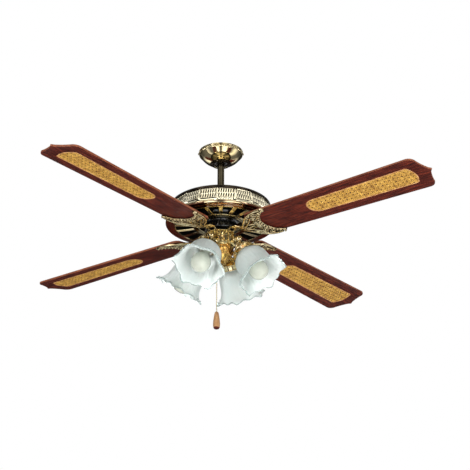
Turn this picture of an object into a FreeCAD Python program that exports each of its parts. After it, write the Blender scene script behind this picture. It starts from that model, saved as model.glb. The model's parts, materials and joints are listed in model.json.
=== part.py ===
"""Ceiling fan with a four-lamp light kit: every separate piece as its own STEP node.

Units are millimetres.  +Z is up and the origin is the centre of the ceiling face, so the fan
hangs down to negative Z.  Blades and lamps are spaced evenly about the Z axis.
"""
import FreeCAD, Part
import math
import os

V = FreeCAD.Vector
X_AXIS, Y_AXIS, Z_AXIS = V(1, 0, 0), V(0, 1, 0), V(0, 0, 1)

# Overall layout
SWEEP_RADIUS = 660.0  # half the blade sweep
BLADE_PLANE_Z = -255.0  # underside of the blades at the fan's axis
BLADE_COUNT = 4
BLADE_AZIMUTH = -128.0  # azimuth of the first blade, degrees
BLADE_PITCH = 9.0
LAMP_COUNT = 4
LAMP_AZIMUTH = -117.0  # azimuth of the first lamp
LAMP_TILT = 55.0  # how far a lamp's axis points below the horizontal
SHADE_NECK = (75.0, -322.0)  # radius and height of the centre of a shade's neck

# Ceiling bracket and canopy
BRACKET_T = 2.5
BRACKET_HALF_LENGTH = 55.5
SLOT_SPACING = 88.9
SLOT_WIDTH = 5.2
SLOT_LENGTH = 12.0
BALL_Z = -22.0
BALL_R = 19.0
BALL_CLEARANCE = 0.3
CANOPY_R = 62.0
CANOPY_BOTTOM_Z = -41.0
CANOPY_HOLE_R = 20.5
CANOPY_SCREW_Z = -6.0

# Downrod and yoke
ROD_R = 9.5
ROD_BORE_R = 6.9
ROD_TOP_Z = -10.0
ROD_BOTTOM_Z = -138.0
YOKE_R = 16.0
YOKE_FLANGE_R = 46.0
YOKE_FLANGE_Z = -146.0  # top face, which carries the housing

# Motor
SHAFT_R = 7.5
SHAFT_BORE_R = 4.5
SHAFT_BOTTOM_Z = -264.0
RUNNING_CLEARANCE = 0.05
CASE_R = 86.0
CASE_TOP_Z = -168.0
CASE_SPLIT_Z = -192.0
CASE_BOTTOM_Z = -222.0
CASE_WALL = 3.5
BEARING_R = 17.5
BEARING_H = 11.0
HUB_R = 44.0
HUB_BOTTOM_Z = -246.0
STATOR_R = 70.5
STATOR_SLOTS = 18
AIR_GAP = 0.5

# Housing
BAND_TOP_R, BAND_TOP_Z = 137.0, -172.0
BAND_LIP_R, BAND_LIP_Z = 149.0, -220.0
SHEET_T = 1.5
VENT_SLOTS = 72
WINDOW_COUNT = 20
WINDOW_R = (78.0, 125.0)
RIB_WIDTH = 5.5
COVER_Z = -228.0  # underside of the windowed cover
COVER_T = 2.0
COVER_HOLE_R = 60.5
HOUSING_SCREW_R = 24.0
LIP_SCREW_Z = -216.0

# Blades and blade irons, in a blade's own frame: x outwards, y across, z up from the underside
BLADE_T = 5.5
BLADE_ROOT_X = 112.0
BLADE_HALF = ((190.0, 55.3), (633.0, 65.0))  # half width at two radii
TIP_SHOULDER_X = 640.0
NUB_X, NUB_Y = 654.0, 6.5
CANE_X = (290.0, 616.0)
CANE_HALF = (29.0, 34.5)
CANE_T = 1.5
IRON_T = 3.5
IRON_HALF = 58.0
IRON_HORN_X = 186.0
IRON_RIM_X = 140.0
BLADE_SCREWS = ((126.0, 0.0), (160.0, 45.0), (160.0, -45.0))
FLANGE_X = (30.0, 62.0)
FLANGE_HALF = 17.0
IRON_SCREW_X, IRON_SCREW_Y = 37.0, 10.0

# Switch housing, light kit and pull chain
SWITCH_R = 42.0
SWITCH_TOP_Z = -254.0
SWITCH_BOTTOM_Z = -270.0
FITTER_BOTTOM_Z = -342.0
ARM_R = 6.0
ARM_Z = -277.0
KNUCKLE_X = 56.0
KNUCKLE_R = 9.0
CHAIN_AZIMUTH = 102.0
CHAIN_RADIUS = 46.5
CHAIN_R = 1.6
CHAIN_TOP_Z = -258.5
PENDANT_Z = (-462.0, -511.0)
REVERSE_AZIMUTH = -20.0
REVERSE_Z = -262.0
REVERSE_TRAVEL = 5.0

# Lamps, along a lamp's own axis measured from the centre of the shade's neck
GLASS_T = 2.5
SHADE_LENGTH = 90.0
SHADE_MOUTH_R = 66.0
NECK_R = 28.5
CUP_APEX = -26.0
BULB_CENTRE = 68.0
BULB_R = 26.5
THUMBSCREWS = 3


def turned(points):
    """Solid of revolution about Z from an (r, z) outline; a triple item is an arc's mid and end."""
    edges = []
    here = V(points[0][0], 0, points[0][1])
    start = here
    for item in points[1:]:
        if len(item) == 4:
            middle, end = V(item[0], 0, item[1]), V(item[2], 0, item[3])
            edges.append(Part.Arc(here, middle, end).toShape())
        else:
            end = V(item[0], 0, item[1])
            edges.append(Part.LineSegment(here, end).toShape())
        here = end
    if (here - start).Length > 1e-6:
        edges.append(Part.LineSegment(here, start).toShape())
    return Part.Face(Part.Wire(edges)).revolve(V(0, 0, 0), Z_AXIS, 360)


def tube(outer, inner, low, high):
    """Upright tube about Z."""
    return turned([(inner, low), (outer, low), (outer, high), (inner, high)])


def rod(radius, start, end):
    """Cylinder between two points."""
    return Part.makeCylinder(radius, (end - start).Length, start, end - start)


def box(low, high):
    """Box between two corners."""
    return Part.makeBox(high[0] - low[0], high[1] - low[1], high[2] - low[2], V(*low))


def plate(edges, thickness, z=0.0):
    """Plate extruded up from a closed outline of edges in the XY plane."""
    face = Part.Face(Part.Wire(Part.sortEdges(edges)[0]))
    face.translate(V(0, 0, z))
    return face.extrude(V(0, 0, thickness))


def lines(points):
    """Edges of an open polyline through (x, y) points."""
    return [Part.LineSegment(V(*a, 0), V(*b, 0)).toShape() for a, b in zip(points, points[1:])]


def arc(a, b, c):
    """Arc edge through three (x, y) points."""
    return Part.Arc(V(*a, 0), V(*b, 0), V(*c, 0)).toShape()


def spin(shape, azimuth):
    """Copy turned about Z by an azimuth in degrees."""
    return shape.rotated(V(0, 0, 0), Z_AXIS, azimuth)


def around(shape, count, first=0.0):
    """Copies of a shape, evenly spaced about Z."""
    return [spin(shape, first + 360.0 / count * i) for i in range(count)]


def save(name, *shapes):
    """Write one node, whose solids are the shapes given."""
    shape = shapes[0] if len(shapes) == 1 else Part.makeCompound(list(shapes))
    if not shape.isValid() or not shape.Solids:
        raise ValueError(f"{name} is not a valid solid")
    shape.exportStep(f"parts/{name}.step")


def screw(head_r, head_h, shank_r, length):
    """Screw pointing up, with the underside of its head at z = 0."""
    head = turned([(0, -head_h), (head_r * 0.7, -head_h), (head_r, -head_h * 0.4), (head_r, 0), (0, 0)])
    return head.fuse(Part.makeCylinder(shank_r, length))


# ---------------------------------------------------------------- ceiling mount


def ceiling_bracket():
    """Slotted ceiling plate with two legs that carry the spherical seat."""
    half = BRACKET_HALF_LENGTH
    body = box((-half, -19, -BRACKET_T), (half, 19, 0)).fuse(box((-12, -23.5, -BRACKET_T), (12, 23.5, 0)))
    for side in (-1, 1):
        slot_x = side * SLOT_SPACING / 2
        straight = (SLOT_LENGTH - SLOT_WIDTH) / 2
        slot = box((slot_x - straight, -SLOT_WIDTH / 2, -9), (slot_x + straight, SLOT_WIDTH / 2, 9))
        for end in (-1, 1):
            slot = slot.fuse(Part.makeCylinder(SLOT_WIDTH / 2, 18, V(slot_x + end * straight, 0, -9)))
        body = body.cut(slot)
        low, high = sorted((side * half, side * (half - BRACKET_T)))
        body = body.fuse(box((low, -9, CANOPY_SCREW_Z - 6), (high, 9, -1)))
        low, high = sorted((side * 20.5, side * 23.5))
        body = body.fuse(box((-10, low, BALL_Z - 13), (10, high, -1)))
        body = body.cut(rod(1.7, V(side * 50, 0, CANOPY_SCREW_Z), V(side * 60, 0, CANOPY_SCREW_Z)))
    seat = tube(23.5, 12.0, BALL_Z - 14, BALL_Z - 4)
    body = body.fuse(seat)
    return body.cut(Part.makeSphere(BALL_R + BALL_CLEARANCE, V(0, 0, BALL_Z))).removeSplitter()


def canopy():
    """Spun canopy with a stepped lip, a milled ring and an open bottom collar."""
    r, low, wall = CANOPY_R, CANOPY_BOTTOM_Z, 1.3
    shell = turned(
        [
            (r - wall, 0),
            (r, 0),
            (r, -4.5),
            (r - 1.8, -6),
            (r - 1.8, -9.5),
            (r - 3.4, -11),
            (48, low + 17, 30, low + 4.5),
            (26.6, low + 4),
            (26, low + 0.8, 24, low),
            (CANOPY_HOLE_R, low),
            (CANOPY_HOLE_R, low + wall),
            (23.6, low + wall),
            (25, low + 4 + wall),
            (29.5, low + 4.5 + wall),
            (47, low + 17 + wall, r - 3.4 - wall, -11),
            (r - 1.8 - wall, -9),
            (r - 1.8 - wall, -6.5),
            (r - wall, -5),
        ]
    )
    for side in (-1, 1):
        shell = shell.cut(rod(1.8, V(side * 56, 0, CANOPY_SCREW_Z), V(side * 66, 0, CANOPY_SCREW_Z)))
    return shell


def canopy_screws():
    """Two screws through the canopy's rim into the bracket's tabs."""
    piece = screw(3.4, 2.2, 1.5, 9.0)
    piece.rotate(V(0, 0, 0), Y_AXIS, -90)
    piece.translate(V(CANOPY_R + 0.1, 0, CANOPY_SCREW_Z))
    return around(piece, 2)


def terminal_block():
    """Wire terminal block under the bracket's plate."""
    block = box((26, -7, -15), (50, 7, -BRACKET_T))
    for i in range(3):
        block = block.cut(Part.makeCylinder(1.6, 8, V(30 + 8 * i, 0, -16)))
    return block


# ---------------------------------------------------------------- hanging frame


def hanger_ball():
    """Ball with flats at its poles, bored for the rod and cross-drilled for its pin."""
    ball = Part.makeSphere(BALL_R, V(0, 0, BALL_Z))
    ball = ball.common(tube(BALL_R + 1, ROD_R, BALL_Z - 12.5, BALL_Z + 13))
    return ball.cut(rod(2.6, V(-20, 0, BALL_Z), V(20, 0, BALL_Z)))


def downrod():
    """Steel tube with cross holes for the ball's pin and the yoke's pin."""
    pipe = tube(ROD_R, ROD_BORE_R, ROD_BOTTOM_Z, ROD_TOP_Z)
    pipe = pipe.cut(rod(2.6, V(-20, 0, BALL_Z), V(20, 0, BALL_Z)))
    return pipe.cut(rod(2.6, V(-20, 0, -126), V(20, 0, -126)))


def motor_yoke():
    """Coupling that joins the rod to the motor's shaft and carries the housing on its flange."""
    top = YOKE_FLANGE_Z
    body = turned(
        [
            (SHAFT_R, -161),
            (YOKE_R, -161),
            (YOKE_R, top - 4),
            (YOKE_FLANGE_R, top - 4),
            (YOKE_FLANGE_R, top),
            (YOKE_R, top),
            (YOKE_R, -116),
            (YOKE_R - 2, -114),
            (ROD_R + 0.1, -114),
            (ROD_R + 0.1, ROD_BOTTOM_Z),
            (SHAFT_R, ROD_BOTTOM_Z),
        ]
    )
    body = body.cut(rod(2.6, V(-20, 0, -126), V(20, 0, -126)))
    body = body.cut(rod(2.1, V(0, -20, -120), V(0, -9, -120)))
    for hole in around(Part.makeCylinder(2.1, 8, V(HOUSING_SCREW_R, 0, top - 6)), 4, 45):
        body = body.cut(hole)
    return body


def clevis_pin():
    """Pin through yoke and rod, held by a hairpin clip."""
    pin = rod(2.5, V(-YOKE_R - 1, 0, -126), V(YOKE_R + 4, 0, -126))
    head = rod(4.0, V(-YOKE_R - 3, 0, -126), V(-YOKE_R - 1, 0, -126))
    clip = Part.makeTorus(3.4, 0.9, V(YOKE_R + 2.4, 0, -126), X_AXIS)
    return pin.fuse(head), clip.cut(pin)


def set_screw():
    """Screw that stops the rod from turning in the yoke."""
    return rod(2.0, V(0, -YOKE_R - 2.5, -120), V(0, -ROD_R, -120))


def motor_shaft():
    """Hollow fixed shaft, from the yoke down to the switch plate."""
    return tube(SHAFT_R, SHAFT_BORE_R, SHAFT_BOTTOM_Z, ROD_BOTTOM_Z)


def stator_core():
    """Slotted lamination stack fixed to the shaft."""
    core = tube(STATOR_R, SHAFT_R, -208, -182)
    slot = box((48, -3, -210), (STATOR_R - 3, 3, -180))
    mouth = box((STATOR_R - 4, -1.2, -210), (STATOR_R + 2, 1.2, -180))
    return core.cut(Part.makeCompound(around(slot.fuse(mouth), STATOR_SLOTS)))


def stator_windings():
    """End turns of the copper windings above and below the stack."""
    top = turned([(40, -182), (64, -182), (64, -179), (61, -176, 52, -175), (43, -176, 40, -179)])
    bottom = turned([(40, -208), (64, -208), (64, -211), (61, -214, 52, -215), (43, -214, 40, -211)])
    return top, bottom


def band_r(z):
    """Outer radius of the conical vent band at a height."""
    share = (BAND_TOP_Z - z) / (BAND_TOP_Z - BAND_LIP_Z)
    return BAND_TOP_R + share * (BAND_LIP_R - BAND_TOP_R)


def housing_dome():
    """Spun top of the motor housing."""
    dome = turned(
        [
            (YOKE_R + 0.4, -144),
            (50, -144),
            (98, -151, 134, -167),
            (137.3, -169, 138.4, -172),
            (133, -172),
            (133, -169.2),
            (98, -153.2, 50, -146),
            (YOKE_R + 0.4, -146),
        ]
    )
    for hole in around(Part.makeCylinder(2.1, 8, V(HOUSING_SCREW_R, 0, -149)), 4, 45):
        dome = dome.cut(hole)
    return dome


def yoke_cover():
    """Bell-shaped cover over the yoke."""
    return turned(
        [
            (ROD_R + 0.4, -111),
            (15, -111),
            (24, -116, 27, -126),
            (31, -138, 46, -142.5),
            (46, -144),
            (44.5, -144),
            (44.5, -143.4),
            (29.6, -138.8, 25.6, -126),
            (22.8, -117, 15, -112.4),
            (ROD_R + 0.4, -112.4),
        ]
    )


def vent_band():
    """Conical sheet band with cooling slots and a turned-in top flange."""
    top, low = BAND_TOP_Z, BAND_LIP_Z
    band = turned(
        [
            (131, top - SHEET_T),
            (131, top),
            (BAND_TOP_R, top),
            (BAND_LIP_R, low),
            (BAND_LIP_R - SHEET_T, low),
            (BAND_TOP_R - SHEET_T, top - SHEET_T),
        ]
    )
    slot = box((125, -1.9, low + 11), (155, 1.9, top - 9))
    band = band.cut(Part.makeCompound(around(slot, VENT_SLOTS, 2.5)))
    holes = around(rod(1.9, V(140, 0, LIP_SCREW_Z), V(155, 0, LIP_SCREW_Z)), 4, 45)
    return band.cut(Part.makeCompound(holes))


def housing_cover():
    """Lower housing: lip, conical ring and a flat cover with radial windows."""
    gap = SHEET_T + 0.2
    top_z = BAND_LIP_Z + 9
    cover = turned(
        [
            (band_r(top_z) - gap, top_z),
            (band_r(BAND_LIP_Z) - gap, BAND_LIP_Z - 0.2),
            (150, BAND_LIP_Z - 0.2),
            (151.4, BAND_LIP_Z - 1.6, 150, BAND_LIP_Z - 3.4),
            (128, COVER_Z),
            (COVER_HOLE_R, COVER_Z),
            (COVER_HOLE_R, COVER_Z + COVER_T),
            (127.6, COVER_Z + COVER_T),
            (145.4, BAND_LIP_Z - 2.6),
            (band_r(top_z) - gap - SHEET_T, top_z),
        ]
    )
    near, far = WINDOW_R
    share = math.pi / WINDOW_COUNT
    near_half, far_half = near * share - RIB_WIDTH / 2, far * share - RIB_WIDTH / 2
    outline = [(near, -near_half), (far, -far_half), (far, far_half), (near, near_half), (near, -near_half)]
    window = plate(lines(outline), 6, COVER_Z - 2)
    cover = cover.cut(Part.makeCompound(around(window, WINDOW_COUNT, 360 / WINDOW_COUNT / 2)))
    holes = around(rod(1.9, V(135, 0, LIP_SCREW_Z), V(155, 0, LIP_SCREW_Z)), 4, 45)
    return cover.cut(Part.makeCompound(holes))


def housing_screws():
    """Four screws that hold the dome to the yoke and four that join band and cover."""
    upper = screw(3.6, 1.8, 1.9, 6.0)
    upper.rotate(V(0, 0, 0), X_AXIS, 180)
    upper.translate(V(HOUSING_SCREW_R, 0, -144))
    lip = screw(3.2, 1.6, 1.7, 5.0)
    lip.rotate(V(0, 0, 0), Y_AXIS, -90)
    lip.translate(V(band_r(LIP_SCREW_Z) + 0.9, 0, LIP_SCREW_Z))
    return around(upper, 4, 45) + around(lip, 4, 45)


def switch_plate():
    """Plate on the end of the shaft that carries the switch housing, with its lock nut."""
    disc = tube(40.2, SHAFT_R, SWITCH_TOP_Z - 2, SWITCH_TOP_Z)
    nut = Part.Face(Part.makePolygon([V(*p, 0) for p in hexagon(11.0)])).extrude(V(0, 0, 5))
    nut.translate(V(0, 0, SWITCH_TOP_Z - 7))
    return disc, nut.cut(Part.makeCylinder(SHAFT_R, 20, V(0, 0, -270)))


def hexagon(radius):
    """Closed corner list of a hexagon."""
    turns = [math.radians(60 * i) for i in range(7)]
    return [(radius * math.cos(t), radius * math.sin(t)) for t in turns]


def on_wall(shape, azimuth):
    """Shape drawn on the +X side, turned to its azimuth."""
    return spin(shape, azimuth)


def switch_housing():
    """Short open cylinder that hides the wiring and holds the two switches."""
    wall = turned(
        [
            (SWITCH_R - 1.6, SWITCH_TOP_Z),
            (SWITCH_R, SWITCH_TOP_Z),
            (SWITCH_R + 0.9, SWITCH_TOP_Z - 1.4, SWITCH_R, SWITCH_TOP_Z - 2.8),
            (SWITCH_R, SWITCH_BOTTOM_Z),
            (SWITCH_R - 1.6, SWITCH_BOTTOM_Z),
        ]
    )
    slot = box((36, -3.9, REVERSE_Z - 2.2), (48, 3.9 + REVERSE_TRAVEL, REVERSE_Z + 2.2))
    wall = wall.cut(on_wall(slot, REVERSE_AZIMUTH))
    return wall.cut(on_wall(rod(2.7, V(36, 0, -263), V(50, 0, -263)), CHAIN_AZIMUTH))


def pull_switch():
    """Body of the pull-chain switch, inside the switch housing."""
    return on_wall(box((17, -9, -269), (37.5, 9, -257)), CHAIN_AZIMUTH)


def chain_guide():
    """Eyelet that leads the pull chain out of the switch and turns it down."""
    guide = Part.makeCylinder(3.4, 10, V(CHAIN_RADIUS, 0, -268))
    guide = guide.fuse(rod(2.5, V(37.5, 0, -263), V(CHAIN_RADIUS - 2, 0, -263)))
    return on_wall(guide.cut(Part.makeCylinder(CHAIN_R + 0.3, 20, V(CHAIN_RADIUS, 0, -275))), CHAIN_AZIMUTH)


def run_capacitor():
    """Run capacitor, a sealed box beside the shaft."""
    return box((-16, -36, -268.5), (14, -20, -257))


def reverse_switch():
    """Body of the reversing switch behind its slot."""
    return on_wall(box((24, -5, -267), (35.8, 10, -257)), REVERSE_AZIMUTH)


def reverse_slider():
    """Knob of the reversing switch, at the end of its travel."""
    stem = box((36.1, -2.6, REVERSE_Z - 1.6), (44, 2.6, REVERSE_Z + 1.6))
    return on_wall(stem, REVERSE_AZIMUTH)


def light_fitter():
    """Cast body of the light kit: a round bowl that tapers to a stem for the finial."""
    top, low, r = SWITCH_BOTTOM_Z, FITTER_BOTTOM_Z, SWITCH_R
    body = turned(
        [
            (r - 3, top),
            (r, top),
            (r, top - 16),
            (r - 1, top - 19, r - 4, top - 20.5),
            (r - 8, top - 27),
            (33.5, top - 40, 27, top - 50),
            (22, top - 60, 17, top - 65),
            (10, low + 3),
            (9, low),
            (4, low),
            (4, low + 8),
            (18, top - 58, 23.5, top - 50),
            (30, top - 40, r - 11, top - 27),
            (r - 7, top - 18),
            (r - 3, top - 15),
        ]
    )
    holes = around(rod(3.2, V(30, 0, ARM_Z), V(48, 0, ARM_Z)), LAMP_COUNT, LAMP_AZIMUTH)
    return body.cut(Part.makeCompound(holes))


def finial():
    """Turned knob that closes the bottom of the light kit."""
    low = FITTER_BOTTOM_Z
    return turned([(0, low), (6, low), (9.2, low - 5, 5, low - 9.4), (0, low - 10)])


# ---------------------------------------------------------------- rotor


def bearing(low):
    """Ball bearing pressed in the case, which runs on the fixed shaft."""
    return tube(BEARING_R, SHAFT_R + RUNNING_CLEARANCE, low, low + BEARING_H)


def rotor_case_lower():
    """Lower half of the motor's turning case, with the black hub that carries the blade irons."""
    r, wall, low = CASE_R, CASE_WALL, CASE_BOTTOM_Z
    case = turned(
        [
            (12, HUB_BOTTOM_Z),
            (HUB_R, HUB_BOTTOM_Z),
            (HUB_R, low),
            (r - 4, low),
            (r, low + 4),
            (r, CASE_SPLIT_Z),
            (r - wall, CASE_SPLIT_Z),
            (r - wall, low + 4),
            (BEARING_R, low + 4),
            (BEARING_R, HUB_BOTTOM_Z + 10),
            (12, HUB_BOTTOM_Z + 10),
        ]
    )
    holes = []
    for side in (-1, 1):
        hole = Part.makeCylinder(2.2, 14, V(IRON_SCREW_X, side * IRON_SCREW_Y, HUB_BOTTOM_Z - 2))
        holes += around(hole, BLADE_COUNT, BLADE_AZIMUTH)
    return case.cut(Part.makeCompound(holes))


def rotor_case_upper():
    """Upper half of the motor's turning case."""
    r, wall, top = CASE_R, CASE_WALL, CASE_TOP_Z
    return turned(
        [
            (12, top + 4),
            (24, top + 4),
            (24, top),
            (r - 4, top),
            (r, top - 4),
            (r, CASE_SPLIT_Z),
            (r - wall, CASE_SPLIT_Z),
            (r - wall, top - 4),
            (22, top - 4),
            (22, top - 13),
            (BEARING_R, top - 13),
            (BEARING_R, top - 2),
            (12, top - 2),
        ]
    )


def rotor_ring():
    """Squirrel-cage ring inside the turning case."""
    return tube(CASE_R - CASE_WALL, STATOR_R + AIR_GAP, -212, -178)


def blade_half(x):
    """Half width of a blade at a radius."""
    (x0, h0), (x1, h1) = BLADE_HALF
    return h0 + (x - x0) * (h1 - h0) / (x1 - x0)


def blade_outline():
    """Blade seen from above: rounded root, straight edges and a bracket-shaped tip."""
    root, corner = BLADE_ROOT_X, 16.0
    straight_end = TIP_SHOULDER_X - 20
    edges = []
    for side in (-1, 1):
        inner = (root + corner, side * blade_half(root + corner))
        outer = (straight_end, side * blade_half(straight_end))
        shoulder = (TIP_SHOULDER_X, side * 46.0)
        nub = (NUB_X, side * NUB_Y)
        edges += lines([(root, side * (inner[1] * side - corner)), (root, 0)])
        bend = corner * (1 - math.sqrt(0.5))
        middle = (root + bend, side * (blade_half(root) - bend))
        edges.append(arc((root, side * (inner[1] * side - corner)), middle, inner))
        edges += lines([inner, outer])
        edges.append(arc(outer, (TIP_SHOULDER_X - 5, side * 58.5), shoulder))
        edges.append(arc(shoulder, (646.0, side * 25.0), nub))
        edges.append(arc(nub, (NUB_X + 3.6, side * 2.8), (SWEEP_RADIUS, 0)))
    return edges


def cane_outline():
    """Inlay seen from above: rounded inner end, tapering sides and a bowed outer end."""
    (x0, x1), (h0, h1) = CANE_X, CANE_HALF
    tip = x0 + 32
    edges = [arc((tip, -h0), (x0, 0), (tip, h0))]
    for side in (-1, 1):
        corner = (x1 - 16, side * h1)
        shoulder = (x1 - 7, side * (h1 - 8))
        edges += lines([(tip, side * h0), corner])
        edges.append(arc(corner, (x1 - 9.5, side * (h1 - 2.5)), shoulder))
    edges.append(arc((x1 - 7, -(h1 - 8)), (x1, 0), (x1 - 7, h1 - 8)))
    return edges


def iron_plate():
    """Openwork lyre-shaped plate under the blade's root, with a concave outer rim."""
    horn, rim, half = IRON_HORN_X, IRON_RIM_X, IRON_HALF
    edges = [arc((horn, -half), (rim, 0), (horn, half))]
    for side in (-1, 1):
        edges.append(arc((84, side * 14), (108, side * 34), (128, side * 52)))
        edges.append(arc((128, side * 52), (152, side * 60), (horn, side * half)))
    edges += lines([(84, -14), (84, 14)])
    body = plate(edges, IRON_T, -IRON_T)
    for side in (-1, 1):
        outline = [(104, 8), (132, 11), (147, 32), (142, 44), (118, 32), (104, 8)]
        body = body.cut(plate(lines([(x, side * y) for x, y in outline]), IRON_T + 2, -IRON_T - 1))
    for x, y in BLADE_SCREWS:
        boss = Part.makeCylinder(7.5, IRON_T, V(x, y, -IRON_T))
        body = body.fuse(boss)
    for x, y in BLADE_SCREWS:
        body = body.cut(Part.makeCylinder(2.3, 10, V(x, y, -6)))
    return body.removeSplitter()


def across(x, z, half, lean):
    """Rectangular section of an iron's neck at a radius."""
    lean = math.radians(lean)
    corners = [(-half, 0), (half, 0), (half, -IRON_T), (-half, -IRON_T), (-half, 0)]
    turn = [(y * math.cos(lean) + s * math.sin(lean), s * math.cos(lean) - y * math.sin(lean)) for y, s in corners]
    return Part.makePolygon([V(x, y, z + h) for y, h in turn])


def blade_iron():
    """Blade iron: flat flange under the hub, curved neck and pitched openwork plate."""
    top = HUB_BOTTOM_Z
    neck = Part.makeLoft(
        [
            across(FLANGE_X[1] - 1, top, FLANGE_HALF - 2, 0),
            across(68, top - 2.2, 14.5, BLADE_PITCH * 0.3),
            across(80, BLADE_PLANE_Z + 1.6, 13.5, BLADE_PITCH * 0.9),
            across(86, BLADE_PLANE_Z, 14, BLADE_PITCH),
        ],
        True,
        False,
    )
    flange = box((FLANGE_X[0], -FLANGE_HALF, top - IRON_T), (FLANGE_X[1], FLANGE_HALF, top))
    iron = flange.fuse(neck).fuse(pitched(iron_plate()))
    for side in (-1, 1):
        iron = iron.cut(Part.makeCylinder(2.3, 10, V(IRON_SCREW_X, side * IRON_SCREW_Y, top - 6)))
    return iron


def pitched(shape):
    """Shape in a blade's frame, pitched and lowered to the blade plane."""
    shape = shape.rotated(V(0, 0, 0), X_AXIS, -BLADE_PITCH)
    return shape.translated(V(0, 0, BLADE_PLANE_Z))


def blade():
    """Wooden blade with screw holes and a shallow recess for the inlay."""
    wood = plate(blade_outline(), BLADE_T)
    wood = wood.cut(plate(cane_outline(), CANE_T + 1, -1))
    for x, y in BLADE_SCREWS:
        wood = wood.cut(Part.makeCylinder(2.2, 20, V(x, y, -5)))
    return pitched(wood)


def cane_panel():
    """Woven cane inlay."""
    return pitched(plate(cane_outline(), CANE_T))


def blade_screws():
    """Three screws that hold a blade to its iron."""
    piece = screw(4.2, 2.0, 1.9, IRON_T + 4.6)
    return [pitched(piece.translated(V(x, y, -IRON_T))) for x, y in BLADE_SCREWS]


def iron_screws():
    """Two screws that hold an iron to the hub."""
    piece = screw(3.8, 2.2, 2.0, IRON_T + 9)
    return [piece.translated(V(IRON_SCREW_X, s * IRON_SCREW_Y, HUB_BOTTOM_Z - IRON_T)) for s in (-1, 1)]


# ---------------------------------------------------------------- lamps


def on_lamp(shape):
    """Shape drawn along +Z from the neck's centre, placed on the lamp axis above +X."""
    shape = shape.rotated(V(0, 0, 0), Y_AXIS, 90 + LAMP_TILT)
    return shape.translated(V(SHADE_NECK[0], 0, SHADE_NECK[1]))


def lamp_arm():
    """Elbow from the fitter: a short tube, a round knuckle and a stem down to the cup."""
    tilt = math.radians(LAMP_TILT)
    cup_top = CUP_APEX + 3
    end = V(SHADE_NECK[0] + cup_top * math.cos(tilt), 0, SHADE_NECK[1] - cup_top * math.sin(tilt))
    corner = V(KNUCKLE_X, 0, ARM_Z)
    arm = rod(ARM_R, V(SWITCH_R - 0.6, 0, ARM_Z), corner)
    arm = arm.cut(Part.makeCylinder(SWITCH_R, 40, V(0, 0, ARM_Z - 20)))
    arm = arm.fuse(Part.makeSphere(KNUCKLE_R, corner)).fuse(rod(ARM_R, corner, end))
    beyond = on_lamp(tube(KNUCKLE_R + 3, 0, CUP_APEX, CUP_APEX + 20))
    return arm.cut(beyond)


def lamp_cup():
    """Bell-shaped cup that holds the shade's neck."""
    apex = CUP_APEX
    cup = turned(
        [
            (3, apex),
            (KNUCKLE_R + 1, apex),
            (22, apex + 3, 29, apex + 13),
            (31.5, apex + 17),
            (31.5, apex + 31),
            (30, apex + 31),
            (30, apex + 18),
            (27.8, apex + 14),
            (20.8, apex + 4.6, KNUCKLE_R + 0.5, apex + 1.5),
            (3, apex + 1.5),
        ]
    )
    holes = around(rod(1.9, V(26, 0, 0), V(34, 0, 0)), THUMBSCREWS, 60)
    return on_lamp(cup.cut(Part.makeCompound(holes)))


def thumbscrews():
    """Three thumbscrews that clamp a shade's neck."""
    pieces = []
    for turn in range(THUMBSCREWS):
        shank = rod(1.7, V(NECK_R, 0, 0), V(36, 0, 0))
        knob = rod(3.6, V(33, 0, 0), V(37.5, 0, 0))
        pieces.append(on_lamp(spin(shank.fuse(knob), 60 + 120 * turn)))
    return pieces


def lamp_socket():
    """Lamp holder inside the cup."""
    return on_lamp(
        turned([(0, -24.4), (9, -24.4), (16, -20), (16.5, 14), (13.4, 14), (13.4, -16), (0, -16)])
    )


def glass_shade():
    """Frosted glass shade with a straight neck and a flared mouth."""
    end, mouth, t = SHADE_LENGTH, SHADE_MOUTH_R, GLASS_T
    return on_lamp(
        turned(
            [
                (NECK_R - t, -4),
                (NECK_R, -4),
                (NECK_R, 7),
                (39, 13, 45, 28),
                (47.5, 45, 49, 60),
                (54, 77, mouth, end),
                (mouth - t, end + 1),
                (51.6, 78, 46.5, 60),
                (45, 45, 42.6, 29),
                (37, 15.5, NECK_R - t, 8.5),
            ]
        )
    )


def bulb():
    """Opal bulb with its screw base."""
    c, r = BULB_CENTRE, BULB_R
    side = r * math.sqrt(0.5)
    return on_lamp(
        turned([(0, -15.5), (13, -15.5), (13, 14.5), (15, 22), (side, c - side), (r, c, 0, c + r)])
    )


# ---------------------------------------------------------------- pull chain


def pull_chain():
    """Chain as a plain round cord, straight down from its guide."""
    top, low = CHAIN_TOP_Z, PENDANT_Z[0]
    return on_wall(Part.makeCylinder(CHAIN_R, top - low, V(CHAIN_RADIUS, 0, low)), CHAIN_AZIMUTH)


def chain_pendant():
    """Turned wooden pendant on the chain's end."""
    top, low = PENDANT_Z
    pendant = turned(
        [
            (0, top),
            (5.0, top),
            (7.2, top - 9, 8.6, top - 20),
            (10, top - 32, 9.4, top - 41),
            (8.0, low + 2, 4.5, low),
            (0, low),
        ]
    )
    return on_wall(pendant.translated(V(CHAIN_RADIUS, 0, 0)), CHAIN_AZIMUTH)


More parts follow.
